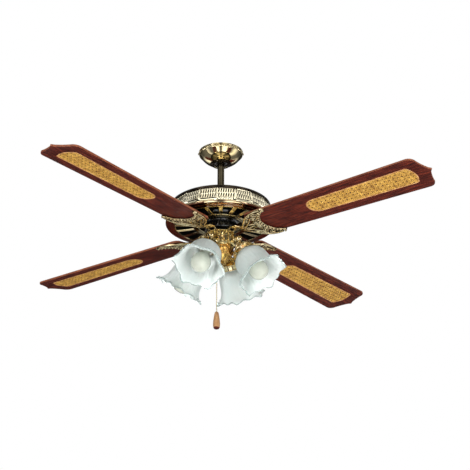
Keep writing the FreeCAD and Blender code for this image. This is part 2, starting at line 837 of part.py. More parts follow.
def main():
    """Make every piece and write its node."""
    os.makedirs("parts", exist_ok=True)
    singles = [
        ceiling_bracket,
        canopy,
        terminal_block,
        hanger_ball,
        downrod,
        motor_yoke,
        set_screw,
        motor_shaft,
        stator_core,
        housing_dome,
        yoke_cover,
        vent_band,
        housing_cover,
        switch_housing,
        pull_switch,
        chain_guide,
        run_capacitor,
        reverse_switch,
        reverse_slider,
        light_fitter,
        finial,
        rotor_case_lower,
        rotor_case_upper,
        rotor_ring,
        pull_chain,
        chain_pendant,
    ]
    for make in singles:
        save(make.__name__, make())
    for make in (canopy_screws, clevis_pin, stator_windings, housing_screws, switch_plate):
        save(make.__name__, *make())
    save("ball_pin", rod(2.5, V(-14, 0, BALL_Z), V(14, 0, BALL_Z)))
    save("upper_bearing", bearing(CASE_TOP_Z - 13))
    save("lower_bearing", bearing(HUB_BOTTOM_Z + 10))
    for make in (blade_iron, blade, cane_panel):
        for i, piece in enumerate(around(make(), BLADE_COUNT, BLADE_AZIMUTH), 1):
            save(f"{make.__name__}_{i}", piece)
    for make in (blade_screws, iron_screws):
        save(make.__name__, *[p for s in make() for p in around(s, BLADE_COUNT, BLADE_AZIMUTH)])
    for make in (glass_shade, bulb):
        for i, piece in enumerate(around(make(), LAMP_COUNT, LAMP_AZIMUTH), 1):
            save(f"{make.__name__}_{i}", piece)
    for name, pieces in (
        ("lamp_arms", [lamp_arm()]),
        ("lamp_cups", [lamp_cup()]),
        ("lamp_sockets", [lamp_socket()]),
        ("thumbscrews", thumbscrews()),
    ):
        save(name, *[p for s in pieces for p in around(s, LAMP_COUNT, LAMP_AZIMUTH)])


main()
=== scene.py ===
import json
import math

import bmesh
import bpy
import numpy as np
from mathutils import Matrix, Vector


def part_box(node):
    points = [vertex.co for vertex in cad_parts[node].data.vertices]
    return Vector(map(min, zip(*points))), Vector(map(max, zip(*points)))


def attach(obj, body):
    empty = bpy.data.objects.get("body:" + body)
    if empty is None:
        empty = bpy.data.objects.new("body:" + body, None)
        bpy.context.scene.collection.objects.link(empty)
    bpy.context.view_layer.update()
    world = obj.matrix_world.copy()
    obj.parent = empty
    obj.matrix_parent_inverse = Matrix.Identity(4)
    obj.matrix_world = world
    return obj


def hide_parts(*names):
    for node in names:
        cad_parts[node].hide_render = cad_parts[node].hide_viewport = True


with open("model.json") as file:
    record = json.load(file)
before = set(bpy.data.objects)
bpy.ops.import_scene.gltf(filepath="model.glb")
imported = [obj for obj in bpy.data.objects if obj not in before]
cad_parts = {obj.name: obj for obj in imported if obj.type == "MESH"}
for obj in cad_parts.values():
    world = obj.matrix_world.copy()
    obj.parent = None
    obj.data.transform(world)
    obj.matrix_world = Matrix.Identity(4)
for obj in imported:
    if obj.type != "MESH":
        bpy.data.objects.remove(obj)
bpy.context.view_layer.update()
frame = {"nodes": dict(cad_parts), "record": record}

MM = 0.001
TAU = 2 * math.pi

# Angles and counts that the design is drawn from
BLADE_COUNT, BLADE_AZIMUTH, BLADE_PITCH = 4, -128.0, 9.0
LAMP_COUNT, LAMP_AZIMUTH, LAMP_TILT = 4, -117.0, 55.0
BLADE_PLANE = -255 * MM
SHADE_NECK = (75 * MM, -322 * MM)
CHAIN_ROUTE = [(-0.009668, 0.045484, z) for z in (-0.2585, -0.326, -0.394, -0.462)]
PANEL_COUNT, WINDOW_COUNT, FLUTE_COUNT = 18, 20, 22
IRON_T = 3.5
PETALS = 6


# ---------------------------------------------------------------- mesh helpers


def piece(name, verts, faces, material, smooth_angle=38.0, places=None):
    """New mesh object, smooth except at edges sharper than smooth_angle degrees.

    places are the vertices in the part's own frame, which the grain of wood and cane follows.
    """
    mesh = bpy.data.meshes.new(name)
    mesh.from_pydata([tuple(v) for v in verts], [], [tuple(f) for f in faces])
    grain = mesh.attributes.new("grain", "FLOAT_VECTOR", "POINT")
    grain.data.foreach_set("vector", np.array([tuple(v) for v in places or verts], dtype=float).ravel())
    mesh.validate()
    mesh.polygons.foreach_set("use_smooth", [True] * len(mesh.polygons))
    mesh.set_sharp_from_angle(angle=math.radians(smooth_angle))
    mesh.materials.append(material)
    obj = bpy.data.objects.new(name, mesh)
    bpy.context.scene.collection.objects.link(obj)
    return obj


def softened(points, radius, steps=4):
    """Open outline with its inner corners rounded to a radius (less where a run is short)."""
    pts = [np.array(p, float) for p in points]
    out = [pts[0]]
    for a, b, c in zip(pts, pts[1:], pts[2:]):
        u, v = a - b, c - b
        lu, lv = np.linalg.norm(u), np.linalg.norm(v)
        cut = min(radius, 0.45 * lu, 0.45 * lv)
        p, q = b + u / lu * cut, b + v / lv * cut
        for i in range(steps + 1):
            t = i / steps
            out.append((1 - t) ** 2 * p + 2 * t * (1 - t) * b + t * t * q)
    out.append(pts[-1])
    return out


def smooth_line(points, steps=8):
    """Catmull-Rom curve through points."""
    pts = np.array(points, float)
    pts = np.vstack([2 * pts[0] - pts[1], pts, 2 * pts[-1] - pts[-2]])
    out = []
    for a, b, c, d in zip(pts, pts[1:], pts[2:], pts[3:]):
        for i in range(steps):
            t = i / steps
            square, cube = 2 * a - 5 * b + 4 * c - d, 3 * b - a - 3 * c + d
            out.append(0.5 * (2 * b + (c - a) * t + square * t * t + cube * t**3))
    out.append(pts[-2])
    return out


def lathe(name, outline, material, segments=128, wave=None, closed=True, inner=None):
    """Surface of revolution about Z from an (r, z) outline in mm; wave(r, z, angle) may change r.

    inner is (number, material): the faces from that outline point on take the material.
    """
    outline = [tuple(p) for p in outline]
    verts, faces = [], []
    rings = []
    for r, z in outline:
        if r < 1e-6:
            rings.append([len(verts)])
            verts.append((0, 0, z * MM))
            continue
        ring = []
        for k in range(segments):
            a = TAU * k / segments
            rr = wave(r, z, a) if wave else r
            ring.append(len(verts))
            verts.append((rr * MM * math.cos(a), rr * MM * math.sin(a), z * MM))
        rings.append(ring)
    pairs = list(zip(rings, rings[1:]))
    if closed:
        pairs.append((rings[-1], rings[0]))
    for low, high in pairs:
        if len(low) == 1 and len(high) == 1:
            continue
        for k in range(segments):
            j = (k + 1) % segments
            if len(low) == 1:
                faces.append((low[0], high[j], high[k]))
            elif len(high) == 1:
                faces.append((low[k], low[j], high[0]))
            else:
                faces.append((low[k], low[j], high[j], high[k]))
    obj = piece(name, verts, faces, material)
    outward(obj)
    if inner:
        obj.data.materials.append(inner[1])
        for poly in obj.data.polygons:
            poly.material_index = int(poly.index >= inner[0] * segments)
    return obj


def sleeve(rings, sides, turned=False):
    """Faces of an open tube between rings of vertices; turned when the rings follow downwards."""
    faces = []
    for i in range(rings - 1):
        for k in range(sides):
            j = (k + 1) % sides
            first, *others = i * sides + k, i * sides + j, (i + 1) * sides + j, (i + 1) * sides + k
            faces.append((first, *reversed(others)) if turned else (first, *others))
    return faces


def capped(rings, sides, turned=False):
    """Faces of a tube with both ends closed."""
    start = tuple(range(sides))
    end = tuple((rings - 1) * sides + k for k in start)
    ends = [start, end[::-1]] if turned else [start[::-1], end]
    return sleeve(rings, sides, turned) + ends


def outward(obj):
    """Make a closed mesh's normals point out."""
    bm = bmesh.new()
    bm.from_mesh(obj.data)
    bmesh.ops.recalc_face_normals(bm, faces=bm.faces)
    bm.to_mesh(obj.data)
    bm.free()


def sweep(path, radius, sides=8, flat=1.0, up=(0, 0, 1), taper=None):
    """(verts, faces) of a closed tube along a path in mm; flat squashes it along up."""
    path = np.array(path, float)
    tangent = np.gradient(path, axis=0)
    tangent /= np.linalg.norm(tangent, axis=1)[:, None] + 1e-12
    up = np.array(up, float)
    verts = []
    n = len(path)
    for i, (p, t) in enumerate(zip(path, tangent)):
        side = np.cross(t, up)
        side /= np.linalg.norm(side) + 1e-12
        lift = np.cross(side, t)
        r = radius * (taper(i / (n - 1)) if taper else 1.0)
        for k in range(sides):
            a = TAU * k / sides
            verts.append((p + r * math.cos(a) * side + r * flat * math.sin(a) * lift) * MM)
    return verts, capped(n, sides)


def ball(centre, radius, rows=7, sides=12, squash=(1, 1, 1)):
    """(verts, faces) of an ellipsoid in mm."""
    verts = []
    c = np.array(centre, float)
    s = np.array(squash, float) * radius
    for i in range(1, rows):
        b = math.pi * i / rows
        for k in range(sides):
            a = TAU * k / sides
            d = np.array([math.sin(b) * math.cos(a), math.sin(b) * math.sin(a), math.cos(b)])
            verts.append((c + d * s) * MM)
    top, low = len(verts), len(verts) + 1
    verts += [(c + np.array([0, 0, s[2]])) * MM, (c - np.array([0, 0, s[2]])) * MM]
    faces = sleeve(rows - 1, sides, turned=True)
    for k in range(sides):
        j = (k + 1) % sides
        faces.append((top, k, j))
        faces.append((low, (rows - 2) * sides + j, (rows - 2) * sides + k))
    return verts, faces


def slab(outline, low, high, holes=(), bevel=0.6):
    """(verts, faces) of a plate with bevelled edges from (x, y) outlines in mm."""
    bm = bmesh.new()
    loops = []
    for ring in [outline, *holes]:
        vs = [bm.verts.new((x * MM, y * MM, low * MM)) for x, y in ring]
        loops.append([bm.edges.new((a, b)) for a, b in zip(vs, vs[1:] + vs[:1])])
    edges = [edge for ring in loops for edge in ring]
    bmesh.ops.triangle_fill(bm, use_beauty=True, use_dissolve=False, edges=edges)
    faces = list(bm.faces)
    grown = bmesh.ops.extrude_face_region(bm, geom=faces)
    top = [v for v in grown["geom"] if isinstance(v, bmesh.types.BMVert)]
    bmesh.ops.translate(bm, verts=top, vec=(0, 0, (high - low) * MM))
    bmesh.ops.recalc_face_normals(bm, faces=bm.faces)
    sharp = [e for e in bm.edges if len(e.link_faces) == 2 and e.calc_face_angle(0) > 0.9]
    flat = [e for e in sharp if abs(e.verts[0].co.z - e.verts[1].co.z) < 1e-7]
    if bevel:
        bmesh.ops.bevel(bm, geom=flat, offset=bevel * MM, segments=2, affect="EDGES", profile=0.6)
    bm.verts.index_update()
    verts = [v.co.copy() for v in bm.verts]
    out = [[v.index for v in f.verts] for f in bm.faces]
    bm.free()
    return verts, out


def merged(*parts):
    """One (verts, faces) from several."""
    verts, faces = [], []
    for v, f in parts:
        start = len(verts)
        verts += list(v)
        faces += [tuple(i + start for i in face) for face in f]
    return verts, faces


def moved(part, matrix):
    """(verts, faces) with a matrix applied; the matrix is in metres."""
    return [matrix @ Vector(v) for v in part[0]], part[1]


def from_object(obj):
    """(verts, faces) of an object, which is then removed."""
    verts = [obj.matrix_world @ v.co for v in obj.data.vertices]
    faces = [tuple(p.vertices) for p in obj.data.polygons]
    mesh = obj.data
    bpy.data.objects.remove(obj)
    bpy.data.meshes.remove(mesh)
    return verts, faces


def copies(name, part, matrices, material, body, node, slot, angle=38.0, second=None):
    """The same part at several places, one object each, standing for node_1, node_2 and so on.

    second is another material and the numbers of the faces that get it.
    """
    objs = []
    for i, matrix in enumerate(matrices, 1):
        obj = piece(f"{name}_{i}", moved(part, matrix)[0], part[1], material, angle, part[0])
        if second:
            obj.data.materials.append(second[0])
            for poly in obj.data.polygons:
                poly.material_index = int(poly.index in second[1])
        stands_for(obj, body, f"{node}_{i}")
        objs.append(obj)
    return objs


def carried(obj, body):
    """A piece of trim that rides on a body."""
    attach(obj, body)


def stands_for(obj, body, node):
    """A piece that rides on a body in place of a CAD node."""
    carried(obj, body)
    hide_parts(node)


def thicken(obj, depth):
    """Give a surface a thickness in mm, inwards."""
    shell = obj.modifiers.new("thickness", "SOLIDIFY")
    shell.thickness = depth * MM
    shell.offset = -1.0
    return shell


def turns(count, azimuth):
    """Even turns about the fan's axis, from an azimuth in degrees."""
    return [Matrix.Rotation(math.radians(azimuth + 360 / count * i), 4, "Z") for i in range(count)]


def dress(obj, shown_material, chosen):
    """Give the faces a test picks a second material; the test gets radius and height in mm."""
    slot = len(obj.data.materials)
    obj.data.materials.append(shown_material)
    for poly in obj.data.polygons:
        x, y, z = poly.center / MM
        if chosen(math.hypot(x, y), z):
            poly.material_index = slot


def arc_points(a, b, c, steps=16):
    """Points on the circle through three (x, y) points, from a to c."""
    (ax, ay), (bx, by), (cx, cy) = a, b, c
    d = 2 * (ax * (by - cy) + bx * (cy - ay) + cx * (ay - by))
    sa, sb, sc = ax * ax + ay * ay, bx * bx + by * by, cx * cx + cy * cy
    ux = (sa * (by - cy) + sb * (cy - ay) + sc * (ay - by)) / d
    uy = (sa * (cx - bx) + sb * (ax - cx) + sc * (bx - ax)) / d
    r = math.hypot(ax - ux, ay - uy)
    t0, t1, t2 = (math.atan2(y - uy, x - ux) for x, y in (a, b, c))
    span = (t2 - t0) % TAU
    if (t1 - t0) % TAU > span:
        span -= TAU
    angles = [t0 + span * i / steps for i in range(steps + 1)]
    return [(ux + r * math.cos(t), uy + r * math.sin(t)) for t in angles]


# ---------------------------------------------------------------- camera


def make_camera():
    """Long lens, low in front of the fan and looking up at it."""
    distance, rise = 3.644, math.radians(23.85)
    data = bpy.data.cameras.new("camera")
    data.sensor_width = 36.0
    data.lens = 101.9
    camera = bpy.data.objects.new("camera", data)
    bpy.context.scene.collection.objects.link(camera)
    camera.location = (0, -distance * math.cos(rise), BLADE_PLANE - distance * math.sin(rise))
    target = Vector((0.0396, 0, BLADE_PLANE + 0.0008))
    camera.rotation_euler = (target - camera.location).to_track_quat("-Z", "Y").to_euler()
    bpy.context.scene.camera = camera
    bpy.context.scene.view_settings.view_transform = "Standard"


make_camera()


# ---------------------------------------------------------------- materials


def material(name, base, roughness, metallic=0.0, **sockets):
    """Principled material; returns it with its nodes, links and shader."""
    mat = bpy.data.materials.new(name)
    mat.use_nodes = True
    nodes, links = mat.node_tree.nodes, mat.node_tree.links
    shader = nodes["Principled BSDF"]
    shader.inputs["Base Color"].default_value = (*base, 1)
    shader.inputs["Roughness"].default_value = roughness
    shader.inputs["Metallic"].default_value = metallic
    for key, value in sockets.items():
        shader.inputs[key.replace("_", " ")].default_value = value
    return mat, nodes, links, shader


def coordinates(nodes, links, scale=(1, 1, 1), grain=False):
    """Texture coordinates, in the part's own frame for a grain, scaled to the surface."""
    mapping = nodes.new("ShaderNodeMapping")
    mapping.inputs["Scale"].default_value = scale
    if grain:
        source = nodes.new("ShaderNodeAttribute")
        source.attribute_name = "grain"
        links.new(source.outputs["Vector"], mapping.inputs["Vector"])
    else:
        source = nodes.new("ShaderNodeTexCoord")
        links.new(source.outputs["Object"], mapping.inputs["Vector"])
    return mapping.outputs["Vector"]


def noise(nodes, links, vector, scale, detail=3.0, roughness=0.55, distortion=0.0):
    """Noise texture; returns its factor."""
    tex = nodes.new("ShaderNodeTexNoise")
    tex.inputs["Scale"].default_value = scale
    tex.inputs["Detail"].default_value = detail
    tex.inputs["Roughness"].default_value = roughness
    tex.inputs["Distortion"].default_value = distortion
    links.new(vector, tex.inputs["Vector"])
    return tex.outputs["Fac"]


def ramp(nodes, links, factor, *stops):
    """Colour ramp of (position, colour) stops; returns its colour."""
    node = nodes.new("ShaderNodeValToRGB")
    band = node.color_ramp
    while len(band.elements) < len(stops):
        band.elements.new(0.5)
    for element, (position, colour) in zip(band.elements, stops):
        element.position = position
        element.color = (*colour, 1) if len(colour) == 3 else colour
    links.new(factor, node.inputs["Fac"])
    return node.outputs["Color"]


def between(nodes, links, factor, low, high, start=0.0, end=1.0):
    """Factor mapped from start..end to low..high."""
    node = nodes.new("ShaderNodeMapRange")
    for key, value in (("From Min", start), ("From Max", end), ("To Min", low), ("To Max", high)):
        node.inputs[key].default_value = value
    links.new(factor, node.inputs["Value"])
    return node.outputs["Result"]


def bump(nodes, links, shader, height, strength, distance):
    """Bump on a shader from a height."""
    node = nodes.new("ShaderNodeBump")
    node.inputs["Strength"].default_value = strength
    node.inputs["Distance"].default_value = distance
    links.new(height, node.inputs["Height"])
    links.new(node.outputs["Normal"], shader.inputs["Normal"])


def blended(nodes, links, kind, factor, first, second):
    """Colour from two colours or sockets; kind is MIX, MULTIPLY or ADD."""
    mix = nodes.new("ShaderNodeMix")
    mix.data_type = "RGBA"
    mix.blend_type = kind
    for name, value in (("Factor", factor), ("A", first), ("B", second)):
        if isinstance(value, tuple):
            mix.inputs[name].default_value = (*value, 1)
        elif isinstance(value, float):
            mix.inputs[name].default_value = value
        else:
            links.new(value, mix.inputs[name])
    return mix.outputs["Result"]


def painted_hollow_shade(nodes, links, colour, dark, amount, reach):
    """Colour darkened in hollows by ambient occlusion, as painted shade."""
    ao = nodes.new("ShaderNodeAmbientOcclusion")
    ao.inputs["Distance"].default_value = reach
    ao.samples = 4
    share = between(nodes, links, ao.outputs["AO"], amount, 0.0, 0.3, 0.9)
    return blended(nodes, links, "MIX", share, colour, dark)


def brass(name, light, deep, dark, rough=(0.07, 0.16), hollow_shade=0.7, reach=0.006):
    """Lacquered brass: cloudy tone, fine wear, and painted shade in the hollows."""
    mat, nodes, links, shader = material(name, light, rough[0], 1.0)
    where = coordinates(nodes, links)
    cloud = noise(nodes, links, where, 22, 4)
    colour = ramp(nodes, links, cloud, (0.32, deep), (0.62, light))
    # painted shade: the tone is pulled towards the dark colour in hollows
    links.new(painted_hollow_shade(nodes, links, colour, dark, hollow_shade, reach), shader.inputs["Base Color"])
    fine = noise(nodes, links, where, 240, 5, 0.7)
    links.new(between(nodes, links, fine, rough[0], rough[1], 0.35, 0.75), shader.inputs["Roughness"])
    bump(nodes, links, shader, noise(nodes, links, where, 900, 2), 0.05, 0.0004)
    return mat


def wood(name, light, mid, dark, rings=9.0, stretch=(2.2, 26, 26), rough=(0.42, 0.56)):
    """Straight-grained veneer along the part's own X axis with pores and a satin coat."""
    satin = {"Specular_IOR_Level": 0.2, "Coat_Weight": 0.04, "Coat_Roughness": 0.3}
    mat, nodes, links, shader = material(name, mid, rough[0], **satin)
    where = coordinates(nodes, links, stretch, True)
    grain = noise(nodes, links, where, rings, 6, 0.62, 0.35)
    pores = noise(nodes, links, coordinates(nodes, links, (9, 420, 420), True), 6, 2)
    colour = ramp(nodes, links, grain, (0.3, dark), (0.5, mid), (0.7, light))
    share = between(nodes, links, pores, 0.0, 0.55, 0.5, 0.72)
    porous = blended(nodes, links, "MULTIPLY", share, colour, (0.35, 0.3, 0.28))
    links.new(porous, shader.inputs["Base Color"])
    links.new(between(nodes, links, grain, rough[0], rough[1]), shader.inputs["Roughness"])
    bump(nodes, links, shader, pores, 0.12, 0.0004)
    return mat


def cane_material(name, light, mid, dark):
    """Split cane: pale streaks along it and darker worn places."""
    mat, nodes, links, shader = material(name, mid, 0.42, Coat_Weight=0.15, Coat_Roughness=0.3)
    where = coordinates(nodes, links, grain=True)
    blotch = noise(nodes, links, where, 60, 4, 0.6)
    streak = noise(nodes, links, where, 700, 2)
    colour = ramp(nodes, links, blotch, (0.3, dark), (0.5, mid), (0.68, light))
    links.new(colour, shader.inputs["Base Color"])
    bump(nodes, links, shader, streak, 0.25, 0.0003)
    return mat


def speckled(name, base, roughness, metallic=0.0, spread=0.25, scale=60.0, **sockets):
    """Moulded, enamelled or plated surface: slight tone and gloss variation and a fine skin."""
    mat, nodes, links, shader = material(name, base, roughness, metallic, **sockets)
    where = coordinates(nodes, links)
    cloud = noise(nodes, links, where, scale, 4)
    dark = tuple(c * (1 - spread) for c in base)
    light = tuple(min(1, c * (1 + spread)) for c in base)
    links.new(ramp(nodes, links, cloud, (0.3, dark), (0.7, light)), shader.inputs["Base Color"])
    gloss = between(nodes, links, cloud, roughness * 0.8, roughness * 1.25, 0.3, 0.7)
    links.new(gloss, shader.inputs["Roughness"])
    bump(nodes, links, shader, noise(nodes, links, where, 1500, 2), 0.06, 0.0002)
    return mat


def glass_material(name, deep, light, clear, rough, painted_glow):
    """White glass with a faint green-blue tint and cloudy frosting.

    clear is how much light passes; the last argument is a self-lit emission, painted light that brightens
    the glass.
    """
    mat, nodes, links, shader = material(name, light, rough[0], Transmission_Weight=clear, IOR=1.45)
    # painted light: the glass glows by emission though it is no lamp
    shader.inputs["Emission Color"].default_value = (*light, 1)
    shader.inputs["Emission Strength"].default_value = painted_glow
    where = coordinates(nodes, links)
    cloud = noise(nodes, links, where, 30, 4)
    links.new(ramp(nodes, links, cloud, (0.3, deep), (0.7, light)), shader.inputs["Base Color"])
    links.new(between(nodes, links, noise(nodes, links, where, 400, 3), *rough), shader.inputs["Roughness"])
    bump(nodes, links, shader, noise(nodes, links, where, 1200, 2), 0.08, 0.0003)
    return mat


# The third colour and the amount of each brass are the painted shade in its hollows.
BRASS = brass("polished_brass", (0.93, 0.80, 0.50), (0.80, 0.64, 0.33), (0.06, 0.042, 0.018))
COPPER = brass("copper_brass", (0.70, 0.44, 0.30), (0.36, 0.17, 0.10), (0.03, 0.016, 0.01), (0.05, 0.1))
CAST = brass(
    "cast_brass", (0.95, 0.80, 0.50), (0.72, 0.52, 0.26), (0.02, 0.012, 0.006), (0.14, 0.28), 0.95, 0.008
)
ANTIQUE = brass(
    "antiqued_ground", (0.26, 0.17, 0.075), (0.12, 0.07, 0.03), (0.012, 0.007, 0.004), (0.22, 0.4), 0.9
)
GOLD = brass(
    "fluted_gold", (0.97, 0.80, 0.40), (0.86, 0.62, 0.24), (0.05, 0.026, 0.008), (0.08, 0.16), 0.9, 0.008
)
PANELS = brass(
    "band_brass", (0.95, 0.87, 0.64), (0.88, 0.78, 0.52), (0.02, 0.014, 0.006), (0.04, 0.08), 0.6
)
# Brass tinted amber: a painted warm reflection of the wooden blades.
WARM_REFLECTION_BRASS = brass(
    "amber_reflection_brass", (0.93, 0.58, 0.17), (0.62, 0.31, 0.07), (0.05, 0.02, 0.006), (0.14, 0.28), 0.95, 0.01
)
# Near-black metal: painted dark reflection on brass edges and painted shade round the canopy's opening.
SHADE_AND_REFLECTION_PAINT = speckled("dark_bronze", (0.045, 0.035, 0.022), 0.14, 1.0)
# Brass darkened as a painted dark reflection, for the downrod and the dome.
DARK_REFLECTION_BRASS = brass("dark_reflection_brass", (0.33, 0.28, 0.17), (0.2, 0.16, 0.09), (0.02, 0.014, 0.006), (0.06, 0.12))
MAHOGANY = wood("mahogany", (0.190, 0.028, 0.011), (0.075, 0.0095, 0.005), (0.014, 0.0025, 0.002))
BLADE_EDGE = wood("blade_edge", (0.44, 0.17, 0.09), (0.30, 0.095, 0.045), (0.15, 0.04, 0.02))
PALE_WOOD = wood("pale_wood", (0.66, 0.40, 0.20), (0.50, 0.27, 0.12), (0.34, 0.16, 0.07), 5.0, (60, 60, 8))
CANE = cane_material("woven_cane", (0.76, 0.44, 0.085), (0.58, 0.31, 0.05), (0.32, 0.14, 0.02))
CANE_EDGE = cane_material("cane_border", (0.74, 0.42, 0.17), (0.58, 0.29, 0.10), (0.34, 0.15, 0.05))
CANE_BACK = speckled("cane_backing", (0.075, 0.024, 0.006), 0.7)
# Both glasses glow faintly by emission, as painted light.
GLASS = glass_material("frosted_glass", (0.82, 0.90, 0.88), (0.93, 0.97, 0.955), 0.5, (0.3, 0.45), 0.022)
GLASS_RIM = glass_material("glass_rim", (0.62, 0.74, 0.72), (0.80, 0.88, 0.86), 0.75, (0.12, 0.2), 0.02)
# Near-black painted shade for inner faces and for the sheet behind the vent slots.
PAINTED_INNER_SHADE = speckled("painted_inner_shade", (0.012, 0.010, 0.008), 0.6)
OPAL = speckled("opal_glass", (0.56, 0.59, 0.50), 0.16, 0, 0.10, Coat_Weight=0.5)
BLACK = speckled("motor_black", (0.002, 0.002, 0.002), 0.08, 0, 0.4, Coat_Weight=0.5)
ZINC = speckled("zinc_steel", (0.58, 0.59, 0.61), 0.32, 1.0)
PHENOLIC = speckled("grey_phenolic", (0.03, 0.03, 0.03), 0.45)
STEEL = speckled("laminations", (0.22, 0.22, 0.23), 0.45, 1.0)
COPPER_WIRE = speckled("copper_wire", (0.62, 0.27, 0.10), 0.3, 1.0, 0.3, 300)
PORCELAIN = speckled("porcelain", (0.80, 0.78, 0.72), 0.25, 0, 0.05)

SLOTS = {
    "polished_brass": BRASS,
    "copper_brass": COPPER,
    "cast_brass": CAST,
    "brass_screws": BRASS,
    # these parts take brass darkened as a painted dark reflection
    "dark_bronze": DARK_REFLECTION_BRASS,
    "mahogany": MAHOGANY,
    "pale_wood": PALE_WOOD,
    "woven_cane": CANE,
    "frosted_glass": GLASS,
    "opal_glass": OPAL,
    "motor_black": BLACK,
    "zinc_steel": ZINC,
    "grey_phenolic": PHENOLIC,
    "laminations": STEEL,
    "copper_wire": COPPER_WIRE,
    "porcelain": PORCELAIN,
    "chain_brass": BRASS,
}
for part in frame["record"]["subparts"]:
    for place in frame["nodes"][part["node"]].material_slots:
        place.material = SLOTS[part["material_slot"]]


# ---------------------------------------------------------------- pull chain


def z_range(node):
    """Lowest and highest height of a node in mm."""
    low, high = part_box(node)
    return low[2] / MM, high[2] / MM


def hanging_line():
    """Points read from the NURBS spline along the chain's route."""
    curve = bpy.data.curves.new("chain_route", "CURVE")
    curve.dimensions = "3D"
    spline = curve.splines.new("NURBS")
    spline.points.add(len(CHAIN_ROUTE) - 1)
    for point, place in zip(spline.points, CHAIN_ROUTE):
        point.co = (*place, 1)
    spline.order_u = 3
    spline.use_endpoint_u = True
    spline.resolution_u = 24
    obj = bpy.data.objects.new("chain_route", curve)
    mesh = bpy.data.meshes.new_from_object(obj)
    points = [v.co.copy() for v in mesh.vertices]
    bpy.data.objects.remove(obj)
    bpy.data.curves.remove(curve)
    bpy.data.meshes.remove(mesh)
    return points


def along(points, distance):
    """Point at a distance along a line of points."""
    for a, b in zip(points, points[1:]):
        step = (b - a).length
        if distance <= step:
            return a.lerp(b, distance / step)
        distance -= step
    return points[-1].copy()


def pull_chain():
    """Beaded chain, straight down from its guide, with its wooden pendant."""
    x, y, top = CHAIN_ROUTE[0]
    line = hanging_line()
    length = sum((b - a).length for a, b in zip(line, line[1:]))
    bead, link, sides = 1.6 * MM, 0.45 * MM, 12
    count = round(length / (4.1 * MM))
    pitch = length / count
    shape = ((0.0, link), (0.1, 0.55 * bead), (0.22, 0.87 * bead), (0.42, bead))
    shape += ((0.62, 0.87 * bead), (0.74, 0.55 * bead), (0.84, link))
    rings = [(along(line, (i + t) * pitch), r) for i in range(count) for t, r in shape] + [(line[-1], link)]
    angles = [TAU * k / sides for k in range(sides)]
    verts = [place + Vector((r * math.cos(a), r * math.sin(a), 0)) for place, r in rings for a in angles]
    faces = capped(len(rings), sides, turned=True)
    chain = piece("bead_chain", verts, faces, BRASS, 60)
    stands_for(chain, "pull_chain_body", "pull_chain")
    p_low, p_top = z_range("chain_pendant")
    shoulder = [(4.6, p_top - 1.2), (5.9, p_top - 5), (7.3, p_top - 13)]
    belly = [(8.9, p_top - 26), (9.5, p_top - 36), (9.0, p_top - 43)]
    form = smooth_line(shoulder + belly, 6)
    groove = [(9.0, p_top - 43), (8.1, p_top - 44), (8.5, p_top - 45.6)]
    foot = softened(groove + [(6.6, p_low + 0.6), (3.4, p_low), (0, p_low)], 0.7)
    cap = [(0, p_top), (2.4, p_top), (3.4, p_top - 0.3)]
    pendant = lathe("wood_pendant", cap + form[:-1] + foot, PALE_WOOD, 48, closed=False)
    pendant.location = (x, y, 0)
    dress(pendant, MAHOGANY, lambda radius, z: z < p_top - 44.4)
    stands_for(pendant, "pull_chain_body", "chain_pendant")


pull_chain()


# ---------------------------------------------------------------- ceiling mount and rod


def canopy():
    """Spun canopy: stepped lip, milled ring, flared cone and turned-in collar."""
    low, top = z_range("canopy")
    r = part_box("canopy")[1][0] / MM
    lip = softened([(r - 1.6, top), (r, top - 0.5), (r, -4.2), (r - 1.9, -5.4), (r - 1.9, -6.2)], 0.8)
    cone = [(r - 3.0, -10.8), (r - 6.6, -15.5), (48, low + 17), (39, low + 10), (30, low + 5.2)]
    flare = smooth_line(cone, 7)
    collar = softened([cone[-1], (26.8, low + 4.2), (26.6, low + 1.2), (24.2, low), (21.2, low)], 1.0)
    inside = [(20.5, low + 0.5), (21.2, low + 1.3), (25.2, low + 5), (38, low + 11.6), (46.6, low + 18)]
    inside += [(r - 4.6, -12), (r - 1.7, top)]
    outer = lip + flare[:-1] + collar
    # the inner faces take painted shade
    shell = lathe("canopy_shell", outer + inside, BRASS, 160, inner=(len(outer) + 1, PAINTED_INNER_SHADE))
    # the collar round the rod opening is painted near-black: painted shade and dark reflection
    dress(shell, SHADE_AND_REFLECTION_PAINT, lambda radius, z: radius < 31 and z < low + 5.4)
    teeth = 72

    def milled(rr, z, a):
        return rr + (0.6 * math.cos(teeth * a) if rr > r - 2.4 else 0)

    band = softened([(r - 4, -6.3), (r - 1.9, -6.3), (r - 1.1, -8.2), (r - 1.9, -10.3), (r - 4, -10.3)], 0.5)
    ring = lathe("canopy_ring", band, BRASS, teeth * 8, milled)
    stands_for(shell, "ceiling_mount", "canopy")
    carried(ring, "ceiling_mount")


canopy()


# ---------------------------------------------------------------- housing


